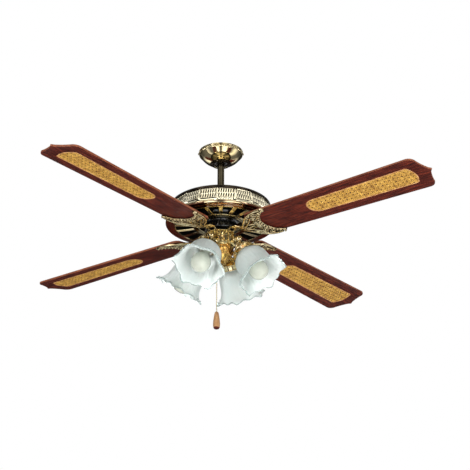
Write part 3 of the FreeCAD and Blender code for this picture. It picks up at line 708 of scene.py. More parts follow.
def housing():
    """Dome with a rolled edge, and the yoke cover on it."""
    top = z_range("housing_dome")[1]
    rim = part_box("housing_dome")[1][0] / MM
    crown = smooth_line([(50, top), (80, top - 3.2), (110, top - 11), (rim - 5, top - 22)], 7)
    edge = softened([crown[-1], (rim, -169.4), (rim, -172), (rim - 4, -172.6), (rim - 6, -172)], 1.6)
    inside = [(rim - 7, -169), (110, top - 13), (80, top - 5.2), (50, top - 2), (16.6, top - 2)]
    outside = [(16.6, top)] + crown[:-1] + edge
    # the inner faces take painted shade; the outer brass is darkened as a painted dark reflection
    dome = lathe("dome", outside + inside, DARK_REFLECTION_BRASS, 160, inner=(len(outside), PAINTED_INNER_SHADE))
    # the rolled edge is painted near-black as a dark reflection
    dress(dome, SHADE_AND_REFLECTION_PAINT, lambda radius, z: radius > rim - 4 and z < top - 20)
    stands_for(dome, "fan_frame", "housing_dome")
    low, top = z_range("yoke_cover")
    curve = [(16, top), (22, top - 3.2), (25.6, top - 9), (28.5, top - 18), (34, top - 26), (43, top - 31)]
    foot = softened([(45.6, top - 31.4), (45.6, low), (44, low)], 0.6)
    outline = [(10.0, top - 0.2)] + smooth_line(curve, 7) + foot
    outline += [(43, top - 32.4), (33, top - 27.4), (27, top - 18)]
    outline += [(24, top - 9), (16, top - 1.8), (10.0, top - 1.8)]
    cover = lathe("yoke_bell", outline, BRASS, 96)
    stands_for(cover, "fan_frame", "yoke_cover")


housing()


def vent_band():
    """Faceted cone of flat panels with rows of slanted slots, between two rolled rims."""
    low, top = z_range("vent_band")
    high_r, low_r = 137.0, 149.0
    rows, columns, slot_sides = 2, 7, 14
    border = 0.035
    first_seam = math.radians(-84)
    grid_top, grid_low = top - 6.0, low + 13.0
    verts, faces, index = [], [], {}

    def vert(panel, u, z):
        """Number of a panel's vertex; u runs from 0 to 1 across the panel."""
        r = high_r + (low_r - high_r) * (top - z) / (top - low) - 0.3
        a0 = TAU * (panel - 0.5) / PANEL_COUNT + first_seam
        a1 = a0 + TAU / PANEL_COUNT
        x = r * ((1 - u) * math.cos(a0) + u * math.cos(a1))
        y = r * ((1 - u) * math.sin(a0) + u * math.sin(a1))
        key = (round(x, 3), round(y, 3), round(z, 3))
        if key not in index:
            index[key] = len(verts)
            verts.append([c * MM for c in key])
        return index[key]

    def plain(panel, u0, u1, z0, z1):
        """Cell without a slot."""
        faces.append([vert(panel, u, z) for u, z in ((u0, z0), (u1, z0), (u1, z1), (u0, z1))])

    def slotted(panel, u0, u1, z0, z1):
        """Cell with a leaning slot."""

        def at(a, b):
            return vert(panel, u0 + (u1 - u0) * a, z0 + (z1 - z0) * b)

        slot, edge = [], []
        for k in range(slot_sides):
            a = TAU * (k + 0.5) / slot_sides
            c, s = math.cos(a), math.sin(a)
            reach = 2 * max(abs(c), abs(s))
            slot.append(at(0.5 + 0.16 * c + 0.37 * s, 0.5 + 0.45 * s))
            edge.append((0.5 + c / reach, 0.5 + s / reach))
        ring = [at(*place) for place in edge]
        corners = {place: at(*place) for place in ((0, 0), (1, 0), (1, 1), (0, 1))}
        for k in range(slot_sides):
            j = (k + 1) % slot_sides
            (a0, b0), (a1, b1) = edge[k], edge[j]
            face = [slot[k], ring[k], ring[j], slot[j]]
            if abs(a0 - a1) > 1e-6 and abs(b0 - b1) > 1e-6:
                face.insert(2, corners[round((a0 + a1) / 2), round((b0 + b1) / 2)])
            faces.append(face)

    cell = (grid_top - grid_low) / rows
    inner = [border + (1 - 2 * border) * i / columns for i in range(columns + 1)]
    for panel in range(PANEL_COUNT):
        for row in range(rows):
            z0, z1 = grid_low + row * cell, grid_low + (row + 1) * cell
            plain(panel, 0.0, border, z0, z1)
            for u0, u1 in zip(inner, inner[1:]):
                slotted(panel, u0, u1, z0, z1)
            plain(panel, inner[-1], 1.0, z0, z1)
        edges_u = [0.0, *inner, 1.0]
        for z0, z1 in ((low + 2.0, grid_low), (grid_top, top - 2.2)):
            for u0, u1 in zip(edges_u, edges_u[1:]):
                plain(panel, u0, u1, z0, z1)
    band = piece("vent_panels", verts, faces, PANELS, 8.0)
    outward(band)
    # the panels' inner side takes painted shade
    band.data.materials.append(PAINTED_INNER_SHADE)
    thicken(band, 1.2).material_offset = 1
    stands_for(band, "fan_frame", "vent_band")
    # a near-black ring behind the slots: a sheet of painted shade
    shade_sheet = [(high_r - 7, top - 3), (low_r - 7, low + 3), (low_r - 8, low + 3), (high_r - 8, top - 3)]
    carried(lathe("band_shade_sheet", shade_sheet, PAINTED_INNER_SHADE, 72), "fan_frame")
    # the top rim is painted near-black as a dark reflection; the lip rim is plain brass
    for name, r, z, size, shown_material in (
        ("band_top_rim", high_r + 0.2, top - 2.0, 2.0, SHADE_AND_REFLECTION_PAINT),
        ("band_lip_rim", low_r - 0.6, low + 1.6, 1.7, BRASS),
    ):
        ring = [(r + size * math.cos(TAU * k / 10), z + size * math.sin(TAU * k / 10)) for k in range(10)]
        carried(lathe(name, ring, shown_material, 160), "fan_frame")


vent_band()


def windowed_cover():
    """Lip, conical ring and the flat cover with rounded ribs between its windows."""
    low, top = z_range("housing_cover")
    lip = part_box("housing_cover")[1][0] / MM
    face_low = [(140, -226.2), (138.6, -226.0), (137.2, -226.7)]
    face_low += [(128.5, low), (126.0, low), (125.2, low + 1.2)]
    ring = softened(
        [(143.6, top), (144.8, -220.4), (lip - 1.4, -220.4), (lip, -221.8), (lip - 1.6, -224.2)], 1.0
    )
    ring += softened(face_low, 0.6) + [(126, low + 2.6), (137, -224.4), (143.2, -222)]
    rim = from_object(lathe("rim", ring, COPPER, 200))
    inner_ring = [(62, low + 2.4), (61, low + 1.6), (61, low + 0.4), (63, low - 0.2), (68, low + 0.5)]
    hub = softened(inner_ring, 0.5)
    hub += softened([(72.5, low - 0.2), (76.5, low + 0.2), (77.8, low + 1.2), (76.5, low + 2.4)], 0.5)
    collar = from_object(lathe("collar", hub, COPPER, 128))
    parts = [rim, collar]
    along_web = [(76, 0, low + 1.6), (90, 0, low + 1.6), (110, 0, low + 1.6), (127, 0, low + 1.8)]
    web = sweep(along_web, 3.0, 6, 0.2)
    rails = []
    for side in (-1, 1):
        lean = [(76, 2.6 * side, low + 1.2), (90, 3.0 * side, low + 1.1), (110, 3.4 * side, low + 1.1)]
        rails.append(sweep(lean + [(127, 3.8 * side, low + 1.3)], 1.9, 8, 0.6))
    spoke = merged(*rails, web)
    parts += [moved(spoke, turn) for turn in turns(WINDOW_COUNT, 0)]
    verts, faces = merged(*parts)
    obj = piece("windowed_cover", verts, faces, COPPER)
    dress(obj, BRASS, lambda radius, z: radius < 130 or radius > 145.5 and z < -222.5)
    stands_for(obj, "fan_frame", "housing_cover")


windowed_cover()


def motor_cases():
    """Turning motor case with its black hub, with rounded edges and cast ribs below."""
    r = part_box("rotor_case_lower")[1][0] / MM
    low, split = z_range("rotor_case_lower")
    hub = [(12, low), (42, low), (44, low + 2), (44, -229), (45.5, -224.5), (52, -222)]
    outline = softened(hub + [(r - 5, -222), (r, -217), (r, split)], 2.0)
    outline += [(r - 3.5, split), (r - 3.5, -218), (17.6, -218), (17.6, -236), (12, -236)]

    def ribbed(rr, z, a):
        return rr + (0.5 * math.cos(36 * a) if 43.5 < rr < 44.5 and low + 3 < z < -226 else 0)

    case = lathe("motor_case_lower", outline, BLACK, 288, ribbed)
    stands_for(case, "rotor", "rotor_case_lower")


motor_cases()


# ---------------------------------------------------------------- blades


# Place of a blade's own frame: x outwards, y across, z up from the blade's underside
RAISED = Matrix.Translation((0, 0, BLADE_PLANE))
PITCH = Matrix.Rotation(math.radians(-BLADE_PITCH), 4, "X")
BLADES = [turn @ RAISED @ PITCH for turn in turns(BLADE_COUNT, BLADE_AZIMUTH)]
BLADE_ROOT, BLADE_TIP, BLADE_T = 112.0, 660.0, 5.5
CANE_X, CANE_HALF, CANE_DEPTH = (290.0, 616.0), (29.0, 34.5), 1.5


def blade_half(x):
    """Half width of a blade."""
    return 55.3 + (x - 190) * (65.0 - 55.3) / (633 - 190)


def mirrored(side_points):
    """Closed outline from the points of its +Y side, ordered from root to tip."""
    return side_points + [(x, -y) for x, y in reversed(side_points) if abs(y) > 1e-6]


def blade_outline():
    """Rounded root, straight edges and a bracket-shaped tip."""
    root = [(BLADE_ROOT, 0.0)] + arc_points((BLADE_ROOT, 37.6), (116.7, 48.9), (128, 53.9), 8)
    corner = arc_points((620, blade_half(620)), (635, 58.5), (640, 46), 10)
    shoulder = arc_points((640, 46), (646, 25), (654, 6.5), 12)[1:]
    nub = arc_points((654, 6.5), (657.6, 2.8), (BLADE_TIP, 0), 5)[1:]
    return mirrored(root + corner + shoulder + nub)


def cane_outline(inset=0.0):
    """Inlay: rounded inner end, tapering sides and a bowed outer end; inset moves it in."""
    (x0, x1), (h0, h1) = CANE_X, CANE_HALF
    tip = x0 + 32
    end = arc_points((tip, -(h0 - inset)), (x0 + inset, 0), (tip, h0 - inset), 24)[12:]
    x1, h1 = x1 - inset, h1 - inset
    side = arc_points((x1 + inset - 16, h1), (x1 - 9.5, h1 - 2.5), (x1 - 7, h1 - 8), 6)
    bow = arc_points((x1 - 7, h1 - 8), (x1, 0), (x1 - 7, 8 - h1), 20)[1:11]
    return mirrored(end + side + bow)


def blade():
    """Blade with bevelled edges and a real recess for the cane."""
    rim = slab(blade_outline(), 0, BLADE_T, [cane_outline()], 0.9)
    floor = slab(cane_outline(-0.2), CANE_DEPTH, BLADE_T - 0.05, (), 0.0)
    return merged(rim, floor)


def inside(x, y, outline):
    """True if a point is inside a closed outline."""
    hit = False
    for (ax, ay), (bx, by) in zip(outline, outline[1:] + outline[:1]):
        if (ay > y) != (by > y) and x < (bx - ax) * (y - ay) / (by - ay) + ax:
            hit = not hit
    return hit


def strand(start, end, outline, width, phase, pitch, lift):
    """Flat cane strand from start to end, kept inside the outline, waving over and under."""
    start, end = np.array(start, float), np.array(end, float)
    long = np.linalg.norm(end - start)
    along = (end - start) / long
    across = np.array([-along[1], along[0]])
    step = pitch / 4
    places = [start + along * step * i for i in range(int(long / step) + 1)]
    runs, run = [], []
    for i, p in enumerate(places):
        if inside(p[0], p[1], outline):
            run.append((i, p))
        elif run:
            runs.append(run)
            run = []
    if run:
        runs.append(run)
    verts, faces = [], []
    for run in runs:
        if len(run) < 2:
            continue
        base = len(verts)
        for i, p in run:
            z = lift + 0.22 * math.sin(TAU * (i / 4 + phase) / 2)
            for side, drop in ((-0.5, 0.0), (-0.25, -0.22), (0.25, -0.22), (0.5, 0.0)):
                q = p + across * width * side
                verts.append((q[0] * MM, q[1] * MM, (z + drop) * MM))
        for i in range(len(run) - 1):
            for k in range(3):
                a = base + i * 4 + k
                faces.append((a, a + 4, a + 5, a + 1))
    return verts, faces


def cane_weave():
    """Six-way cane webbing in the recess, seen from below."""
    outline = cane_outline(1.0)
    pitch, half = 12.7, 40.0
    x0, x1 = CANE_X
    parts = []
    for i in range(int((x1 - x0) / pitch) + 1):
        for offset in (-1.5, 1.5):
            x = x0 + 4 + i * pitch + offset
            parts.append(strand((x, -half), (x, half), outline, 2.3, i % 2, pitch, 0.75))
    rows = int(half / pitch)
    for j in range(-rows, rows + 1):
        for offset in (-1.5, 1.5):
            y = j * pitch + offset
            parts.append(strand((x0, y), (x1, y), outline, 2.3, j % 2 + 1, pitch, 0.75))
    for direction in (-1, 1):
        count = int((x1 - x0 + 2 * half) / pitch) + 2
        for i in range(count):
            x = x0 + 4 - half + i * pitch - (half % pitch) * direction
            start, end = (x, -half * direction), (x + 2 * half, half * direction)
            parts.append(strand(start, end, outline, 2.3, i % 2, pitch * 0.9, 0.42 + 0.12 * direction))
    return merged(*parts)


def ring_line(outline, z):
    """Closed path in 3D from an outline."""
    return [(x, y, z) for x, y in outline + outline[:2]]


def steep_faces(part):
    """Numbers of the faces that aren't level."""
    verts, faces = part
    steep = set()
    for i, face in enumerate(faces):
        a, b, c = (np.array(verts[k], float) for k in face[:3])
        cross = np.cross(b - a, c - b)
        if abs(cross[2]) < 0.9 * np.linalg.norm(cross):
            steep.add(i)
    return steep


def blades():
    """The four blades with their inlays."""
    board = blade()
    edges = (BLADE_EDGE, steep_faces(board))
    copies("wood_blade", board, BLADES, MAHOGANY, "rotor", "blade", "mahogany", 30, edges)
    copies("cane_weave", cane_weave(), BLADES, CANE, "rotor", "cane_panel", "woven_cane", 60)
    back = slab(cane_outline(0.4), 1.1, CANE_DEPTH, (), 0.0)
    border = sweep(ring_line(cane_outline(1.5), 0.75), 1.7, 8, 0.55)
    for i, matrix in enumerate(BLADES, 1):
        for name, part, mat in (("cane_back", back, CANE_BACK), ("cane_border", border, CANE_EDGE)):
            obj = piece(f"{name}_{i}", moved(part, matrix)[0], part[1], mat, places=part[0])
            carried(obj, "rotor")


blades()


# ---------------------------------------------------------------- blade irons


def spiral(centre, start_r, end_r, start_angle, turns, steps=26):
    """Points of a flat spiral."""
    out = []
    for i in range(steps + 1):
        t = i / steps
        r = start_r + (end_r - start_r) * t
        a = math.radians(start_angle) + TAU * turns * t
        out.append((centre[0] + r * math.cos(a), centre[1] + r * math.sin(a)))
    return out


def raised(points, z):
    """3D path at a height from (x, y) points."""
    return [(x, y, z) for x, y in points]


def scrolls(side, z):
    """Scrollwork on one side of an iron."""

    def tube(points, radius, flat=0.95, taper=None):
        return sweep(raised([(x, side * y) for x, y in points], z), radius, 8, flat, taper=taper)

    def thinning(t):
        return 1.0 - 0.55 * t

    strut = smooth_line([(84, 11), (98, 24), (112, 38), (128, 50), (150, 57), (172, 57.5)], 6)
    horn = spiral((176.5, 53.0), 6.5, 2.2, 95, -0.95)
    parts = [tube(strut, 3.1, 0.9), tube(horn, 2.6, 1.0, thinning), ball((176.5, side * 53.0, z), 2.6)]
    big = smooth_line([(88, 4), (98, 9), (110, 19), (122, 30)], 6) + spiral((132, 28), 9.6, 2.6, 165, -1.35)
    parts += [tube(big, 2.7, taper=thinning), ball((132, side * 28, z), 3.0)]
    small = smooth_line([(104, 11), (114, 8), (124, 6)], 5) + spiral((127, 12), 5.8, 1.8, -110, 1.2)
    parts.append(tube(small, 2.0, taper=thinning))
    outer = smooth_line([(140, 54), (137, 47), (141, 40)], 5) + spiral((148, 43), 6.6, 2.0, 200, 1.1)
    parts.append(tube(outer, 2.1, taper=thinning))
    for x, y, turn, long in ((118, 37, 50, 8.5), (126, 43, 35, 7.5), (109, 27, 48, 7.0), (143, 49, 10, 6.5)):
        leaf = ball((0, 0, 0), 1.0, squash=(long, 3.0, 2.2))
        lean = Matrix.Rotation(side * math.radians(turn), 4, "Z")
        parts.append(moved(leaf, Matrix.Translation((x * MM, side * y * MM, z * MM)) @ lean))
    return merged(*parts)


def iron_outline():
    """Lyre-shaped plate with a concave outer edge."""
    side = arc_points((84, 13), (108, 33), (128, 51), 10)
    side += arc_points((128, 51), (152, 58.5), (184, 57), 10)[1:]
    side += [(186, 53)] + arc_points((184.5, 50), (151.5, 27), (140, 0.01), 14)[1:-1] + [(139.8, 0.0)]
    return mirrored(side)


def iron_holes():
    """Openings of the plate."""
    shapes = (
        [(101, 14), (112, 13), (121, 19), (120, 27), (111, 24), (101, 14)],
        [(133, 44), (142, 33), (149, 34), (150, 50), (142, 51), (133, 44)],
    )
    return [[(x, side * y) for x, y in softened(shape, 3)[:-1]] for side in (-1, 1) for shape in shapes]


def iron_neck():
    """S-shaped neck from the flange under the hub to the plate, with a raised spine."""
    fall = [(60, -247.8, 0), (70, -251.6, 2.5), (80, -256.0, 8), (92, -257.6, 9)]
    stations = smooth_line([(33, -247.8, 0), (50, -247.8, 0)] + fall, 6)
    widths = smooth_line([(0, 15), (0.35, 15.5), (0.55, 13), (0.75, 10.5), (0.9, 11.5), (1, 13)], 6)
    sides, rail_start = 16, 12
    n = len(stations)
    halves = [np.interp(i / (n - 1), [w[0] for w in widths], [w[1] for w in widths]) for i in range(n)]
    verts = []
    for (x, z, lean), half in zip(stations, halves):
        up, over = math.cos(math.radians(lean)), math.sin(math.radians(lean))
        for k in range(sides):
            a = TAU * k / sides
            c, s = math.cos(a), math.sin(a)
            y = half * math.copysign(abs(c) ** 0.6, c)
            h = 1.75 * math.copysign(abs(s) ** 0.7, s) - (1.6 if s < -0.9 and x > 55 else 0)
            verts.append((x * MM, (y * up + h * over) * MM, (z + h * up - y * over) * MM))
    rails = []
    for side in (-1, 1):
        line = []
        for (x, z, lean), half in zip(stations[rail_start:], halves[rail_start:]):
            up, over = math.cos(math.radians(lean)), math.sin(math.radians(lean))
            line.append((x, side * (half - 0.5) * up, z - 1.0 - side * half * over))
        rails.append(sweep(line, 2.4, 8))
    return merged((verts, capped(n, sides)), *rails)


def pearls_and_leaves(z):
    """Pearl border between two ridges along the concave rim, a fan of leaves and a spine."""
    parts = []
    rim = arc_points((183, -50), (144.6, 0), (183, 50), 40)
    parts.append(sweep(raised(rim, z + 0.2), 1.3, 8))
    for x, y in arc_points((179, -51.5), (140.6, 0), (179, 51.5), 14):
        parts.append(ball((x, y, z - 0.3), 3.4))
    inner = arc_points((170, -50.5), (135.4, 0), (170, 50.5), 40)
    parts.append(sweep(raised(inner, z + 0.1), 1.5, 8))
    for k in range(5):
        turn = math.radians(-56 + 28 * k)
        leaf = ball((0, 0, 0), 1.0, squash=(9.0 - 0.8 * abs(k - 2), 2.6, 2.6))
        centre = Vector((121 + 7 * math.cos(turn), 7 * math.sin(turn), z - 0.2)) * MM
        parts.append(moved(leaf, Matrix.Translation(centre) @ Matrix.Rotation(turn, 4, "Z")))
    spine = smooth_line([(84, 0, z - 0.6), (95, 0, z - 1.0), (106, 0, z - 0.8), (118, 0, z - 0.2)], 6)
    parts.append(sweep(spine, 3.4, 8, 0.8, taper=lambda t: 1.0 - 0.4 * t))
    return parts


def irons():
    """The four cast irons: a dark openwork ground with bright relief on it."""
    z = -IRON_T
    ground = slab(iron_outline(), z + 0.6, 0, iron_holes(), 0.7)
    relief = merged(*[scrolls(side, z - 0.3) for side in (-1, 1)], *pearls_and_leaves(z))
    pitched = RAISED @ PITCH
    whole = merged(moved(ground, pitched), moved(relief, pitched), iron_neck())
    ground_faces = (ANTIQUE, set(range(len(ground[1]))))
    around = turns(BLADE_COUNT, BLADE_AZIMUTH)
    copies("scroll_iron", whole, around, CAST, "rotor", "blade_iron", "cast_brass", 50, ground_faces)


irons()


# ---------------------------------------------------------------- switch housing and light kit


def fluted(r):
    """Wave that cuts concave flutes with sharp edges into a wall of radius r."""

    def wave(rr, z, a):
        return rr - 2.4 * abs(math.sin(FLUTE_COUNT * a / 2)) if rr > r - 0.3 else rr

    return wave


def switch_housing():
    """Fluted ring under the hub."""
    low, top = z_range("switch_housing")
    r = 42.0
    bead = softened([(r - 2.6, top), (r + 0.7, top - 0.3), (r + 0.7, top - 2.6), (r - 0.5, top - 3.0)], 0.8)
    wall = [(r - 0.2, top - 3.6), (r, top - 6), (r, top - 10), (r, low + 0.6), (r - 1.0, low)]
    outline = bead + wall + [(r - 4.4, low), (r - 4.4, top - 2)]
    ring = lathe("switch_ring", outline, GOLD, FLUTE_COUNT * 16, fluted(r))
    stands_for(ring, "fan_frame", "switch_housing")


switch_housing()


def light_fitter():
    """Cast fitter: fluted bowl above and a leafy taper below, down to the finial."""
    low, top = z_range("light_fitter")
    leaves = 8
    r, bowl_low = 42.0, top - 20.5
    flutes = fluted(r)

    def carved(rr, z, a):
        if z > bowl_low + 1:
            return flutes(rr, z, a)
        if z > bowl_low - 4.6 or z < low + 6:
            return rr
        share = (bowl_low - z) / (bowl_low - low)
        leaf = abs(math.cos(leaves * a / 2 + (math.pi / 2 if share > 0.5 else 0)))
        vein = abs(math.cos(leaves * 2 * a))
        tier = (share * 2 - 0.1) % 1.0
        return rr - 4.0 * (1 - leaf) * (0.4 + 0.6 * tier) + 1.4 * vein * tier + 1.5 * tier**2

    upper = [(r - 3, top), (r - 0.6, top - 0.2), (r, top - 1.2)]
    upper += [(r, top - 9), (r, top - 14), (r - 0.2, top - 16.6)]
    step = (r - 5.0, bowl_low - 2.2)
    foot = (r - 6.4, bowl_low - 5)
    lip = softened([(r - 1.5, top - 18.2), (r - 4.4, top - 19.8), (r - 5.4, bowl_low), step], 0.8)
    lip += softened([step, (r - 6.4, bowl_low - 3.6), foot], 0.8)
    fall = [(r - 6.6, bowl_low - 14), (30, bowl_low - 24), (23, bowl_low - 34), (13.5, low + 8)]
    taper = smooth_line([foot] + fall, 12)
    neck = [(12.5, low + 7.6), (9.0, low + 6.5), (8.2, low + 4)]
    tail = softened(neck + [(10.4, low + 2.4), (9.4, low), (0, low)], 0.9)
    fitter = lathe("fitter", upper + lip + taper[1:] + tail, GOLD, FLUTE_COUNT * 16, carved, closed=False)
    # the lower taper takes the amber-tinted brass, a painted warm reflection
    dress(fitter, WARM_REFLECTION_BRASS, lambda radius, z: z < bowl_low - 4)
    thicken(fitter, 1.4)
    stands_for(fitter, "fan_frame", "light_fitter")
    f_low, f_top = z_range("finial")
    waist = [(5.2, f_top), (4.2, f_top - 1.2), (8.4, f_top - 3.4)]
    knob = smooth_line(waist + [(8.8, f_top - 5.6), (5.6, f_top - 8.2), (3, f_low + 0.8)], 6)
    knob = [(0, f_top)] + knob + [(2.4, f_low + 0.2), (0, f_low)]
    stands_for(lathe("finial_knob", knob, GOLD, 48, closed=False), "fan_frame", "finial")


light_fitter()


# Place of a lamp's own frame: +Z along the lamp from the centre of the shade's neck
NECK_PLACE = Matrix.Translation((SHADE_NECK[0], 0, SHADE_NECK[1]))
LEANING = NECK_PLACE @ Matrix.Rotation(math.radians(90 + LAMP_TILT), 4, "Y")
LAMPS = [turn @ LEANING for turn in turns(LAMP_COUNT, LAMP_AZIMUTH)]
SHADE_END = 89.0


def shade():
    """Ruffled glass: softly ribbed body and pointed petals that curl out; also its rim's faces."""
    body = [(28.3, -4), (28.3, 3), (28.8, 6.5), (36, 10.5), (42.2, 18), (45.6, 30), (46.8, 44), (48.2, 58)]
    mouth = [(51.0, 70), (56.0, 80), (61.5, 86.5), (65.0, SHADE_END), (67.2, SHADE_END - 0.6)]
    profile = smooth_line(body + mouth, 6)
    around, rim_rings = 288, 7
    verts = []
    for r, s in profile:
        share = min(1.0, max(0.0, (s - 34) / (SHADE_END - 34)))
        lip = max(0.0, (r - 50) / 17)
        for k in range(around):
            a = TAU * k / around
            crest = 1 - abs(math.sin(PETALS * a / 2))
            wave = math.cos(PETALS * a)
            fold = math.cos(2 * PETALS * a + 0.8)
            rib = 0.35 * math.cos(36 * a) * min(1.0, max(0.0, (s - 8) / 16))
            rr = r + rib + 3.2 * share**2 * wave + lip**2 * (4.2 * crest**1.4 - 2.2 + 1.6 * fold)
            ss = s + lip**2 * (6.5 * crest**1.2 - 4.5 + 2.2 * fold) - 1.5 * share**2 * wave
            verts.append((rr * math.cos(a) * MM, rr * math.sin(a) * MM, ss * MM))
    faces = sleeve(len(profile), around)
    return verts, faces, set(range(len(faces) - rim_rings * around, len(faces)))


def bulb():
    """Opal globe bulb with its threaded base."""
    swell = [(13.4, 24), (16.2, 35), (21.0, 47), (25.2, 58), (26.5, 68)]
    globe = smooth_line(swell + [(25.0, 78), (20, 87), (11, 93), (0, 94.5)], 6)
    thread = [(12.6 + 0.5 * math.sin(TAU * i / 4), i - 12) for i in range(25)]
    outline = [(0, -15), (6, -15), (9, -13)] + thread + [(13.2, 14), (13.2, 22)] + globe
    return from_object(lathe("bulb", outline, OPAL, 64, closed=False))


def cup():
    """Bell cup with a rolled mouth and a ringed collar."""
    a = -26.0
    outer = smooth_line([(9.8, a), (14, a + 1.4), (20.5, a + 4.6), (26.4, a + 9.6), (29.6, a + 14.4)], 6)
    ring = [(29.6, a + 14.4), (31.4, a + 15.4), (31.4, a + 17.2), (30.4, a + 18.2), (31.2, a + 19.4)]
    mouth = [(31.2, a + 27.6), (32.2, a + 28.6), (32.2, a + 30.6), (30.8, a + 31)]
    collar = softened(ring + mouth, 0.8)
    inner = [(29.6, a + 30.4), (29.4, a + 18), (25, a + 11), (19.4, a + 6.4)]
    inner += [(13.4, a + 3), (3, a + 2), (3, a)]
    return from_object(lathe("cup", outer[:-1] + collar + inner, BRASS, 96))


def thumbscrew():
    """Knurled thumbscrew along +X."""

    def knurled(rr, z, a):
        return rr + (0.25 * math.cos(20 * a) if rr > 3.1 else 0)

    outline = [(0, 28.6), (1.6, 28.6), (1.6, 33), (3.4, 33), (3.6, 33.5), (3.6, 37), (3.1, 37.6), (0, 37.6)]
    body = lathe("screw", outline, BRASS, 80, knurled, closed=False)
    return moved(from_object(body), Matrix.Rotation(math.radians(90), 4, "Y"))


def lamps():
    """Shades, bulbs, cups and thumbscrews of the four lamps."""
    verts, faces, rim = shade()
    turned = [lamp @ Matrix.Rotation(math.radians(24 * i), 4, "Z") for i, lamp in enumerate(LAMPS)]
    glass = (GLASS, "fan_frame", "glass_shade", "frosted_glass", 80, (GLASS_RIM, rim))
    for obj in copies("ruffled_shade", (verts, faces), turned, *glass):
        thicken(obj, 2.2)
    copies("opal_bulb", bulb(), LAMPS, OPAL, "fan_frame", "bulb", "opal_glass", 50)
    cup_part, screw_part = cup(), thumbscrew()
    cups = [moved(cup_part, lamp) for lamp in LAMPS]
    screws = [moved(screw_part, lamp @ turn) for lamp in LAMPS for turn in turns(3, 60)]
    for name, parts, node in (("bell_cups", cups, "lamp_cups"), ("knurled_screws", screws, "thumbscrews")):
        stands_for(piece(name, *merged(*parts), BRASS), "fan_frame", node)


lamps()


def arms():
    """Cast elbows: stub with a ring, a round knuckle, and a ringed stem down to the cup."""
    cup_apex = LEANING @ Vector((0, 0, -27 * MM)) / MM
    corner = Vector((56, 0, -277))
    reach = cup_apex - corner
    parts = [
        sweep([(x, 0, corner.z) for x in (40, 43, 48, 56)], 5.6, 20),
        sweep([(x, 0, corner.z) for x in (41.4, 42.6, 43.8)], 7.6, 24),
        ball(corner, 9.0, 14, 32),
        sweep([corner + reach * t for t in (0, 0.3, 0.6, 1.0)], 5.4, 20, up=(0, 1, 0)),
    ]
    lean = Matrix.Rotation(-math.atan2(reach.x, -reach.z), 4, "Y")
    for share, size in ((0.42, 6.8), (0.55, 7.9), (0.68, 6.8)):
        ring = ball((0, 0, 0), size, 8, 28, (1, 1, 0.24))
        parts.append(moved(ring, Matrix.Translation((corner + reach * share) * MM) @ lean))
    single = merged(*parts)
    verts, faces = merged(*[moved(single, turn) for turn in turns(LAMP_COUNT, LAMP_AZIMUTH)])
    stands_for(piece("lamp_knuckles", verts, faces, BRASS), "fan_frame", "lamp_arms")


arms()


# ---------------------------------------------------------------- studio


def area_light(name, location, target, size, power, mirrored=False):
    """Rectangular soft light aimed at a point; mirrored ones show in reflections."""
    data = bpy.data.lights.new(name, "AREA")
    data.shape = "RECTANGLE"
    data.size, data.size_y = size
    data.energy = power
    lamp = bpy.data.objects.new(name, data)
    bpy.context.scene.collection.objects.link(lamp)
    lamp.visible_glossy = mirrored
    lamp.location = location
    lamp.rotation_euler = (Vector(target) - Vector(location)).to_track_quat("-Z", "Y").to_euler()


# Brightness of the surroundings against height, from straight down to straight up, and azimuth
STRIP_HEIGHTS = (
    *((0.0, 0.2), (0.03, 0.5), (0.07, 1.0), (0.3, 0.8), (0.42, 0.15), (0.5, 0.0)),
    *((0.7, 0.02), (0.78, 0.6), (0.84, 1.0), (0.94, 1.0), (1.0, 0.6)),
)
GLOW_HEIGHTS = ((0.0, 0.05), (0.3, 0.04), (0.5, 0.0), (0.75, 0.03), (0.9, 0.12), (1.0, 0.2))
STRIP_AZIMUTHS = (
    *((0.0, 0.6), (0.05, 0.03), (0.1, 0.03), (0.14, 1.0), (0.205, 1.0), (0.23, 0.02), (0.265, 0.02)),
    *((0.29, 1.0), (0.35, 1.0), (0.38, 0.03), (0.45, 0.04), (0.5, 0.8), (0.56, 0.03), (0.62, 0.03)),
    *((0.66, 0.9), (0.69, 0.02), (0.81, 0.02), (0.84, 0.9), (0.89, 0.03), (0.95, 0.03)),
)


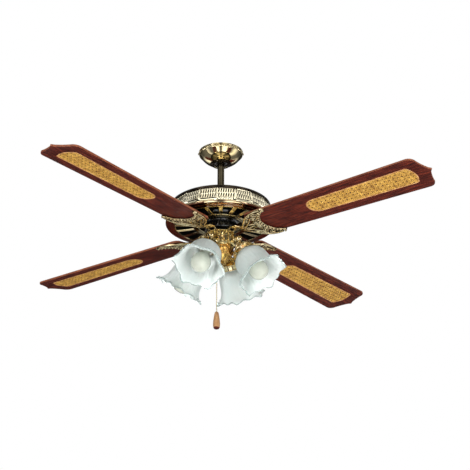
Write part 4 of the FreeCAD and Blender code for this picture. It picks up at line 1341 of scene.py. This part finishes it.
def surroundings():
    """White to the eye and through glass; dark with strip lights in reflections and for fill."""
    world = bpy.data.worlds.new("world")
    bpy.context.scene.world = world
    world.use_nodes = True
    nodes, links = world.node_tree.nodes, world.node_tree.links
    coord = nodes.new("ShaderNodeTexCoord").outputs["Generated"]
    split = nodes.new("ShaderNodeSeparateXYZ")
    radial = nodes.new("ShaderNodeTexGradient")
    radial.gradient_type = "RADIAL"
    for node in (split, radial):
        links.new(coord, node.inputs["Vector"])
    height = between(nodes, links, split.outputs["Z"], 0, 1, -1, 1)

    def grey(factor, stops):
        return ramp(nodes, links, factor, *[(place, (v, v, v)) for place, v in stops])

    bars = grey(radial.outputs["Fac"], STRIP_AZIMUTHS)
    strips = blended(nodes, links, "MULTIPLY", 1.0, grey(height, STRIP_HEIGHTS), bars)
    lit = nodes.new("ShaderNodeBackground")
    lit.inputs["Strength"].default_value = 2.2
    links.new(blended(nodes, links, "ADD", 1.0, strips, grey(height, GLOW_HEIGHTS)), lit.inputs["Color"])
    white = nodes["Background"]
    white.inputs["Color"].default_value = (1, 1, 1, 1)
    path = nodes.new("ShaderNodeLightPath")
    seen = nodes.new("ShaderNodeMath")
    seen.operation = "MAXIMUM"
    links.new(path.outputs["Is Camera Ray"], seen.inputs[0])
    links.new(path.outputs["Is Transmission Ray"], seen.inputs[1])
    mix = nodes.new("ShaderNodeMixShader")
    links.new(seen.outputs[0], mix.inputs["Fac"])
    links.new(lit.outputs["Background"], mix.inputs[1])
    links.new(white.outputs["Background"], mix.inputs[2])
    links.new(mix.outputs["Shader"], nodes["World Output"].inputs["Surface"])


def studio():
    """Strip-lit surroundings, a pale floor and soft boxes at both sides, below and behind."""
    surroundings()
    half, depth = 30.0, -2.3
    corners = [(-half, -half, depth), (half, -half, depth), (half, half, depth), (-half, half, depth)]
    pale = speckled("pale_floor", (0.86, 0.86, 0.85), 0.7, spread=0.02)
    floor = piece("floor", corners, [(0, 1, 2, 3)], pale)
    floor.visible_glossy = False
    middle = (0, 0, -0.28)
    area_light("key", (-2.4, -2.6, -0.1), middle, (0.9, 2.0), 34, True)
    area_light("fill", (2.6, -2.3, -0.6), middle, (0.7, 2.0), 24, True)
    area_light("low", (0.3, -1.5, -2.2), middle, (2.2, 1.0), 52)
    area_light("back", (0.6, 2.6, 1.4), middle, (2.0, 1.2), 50)


studio()
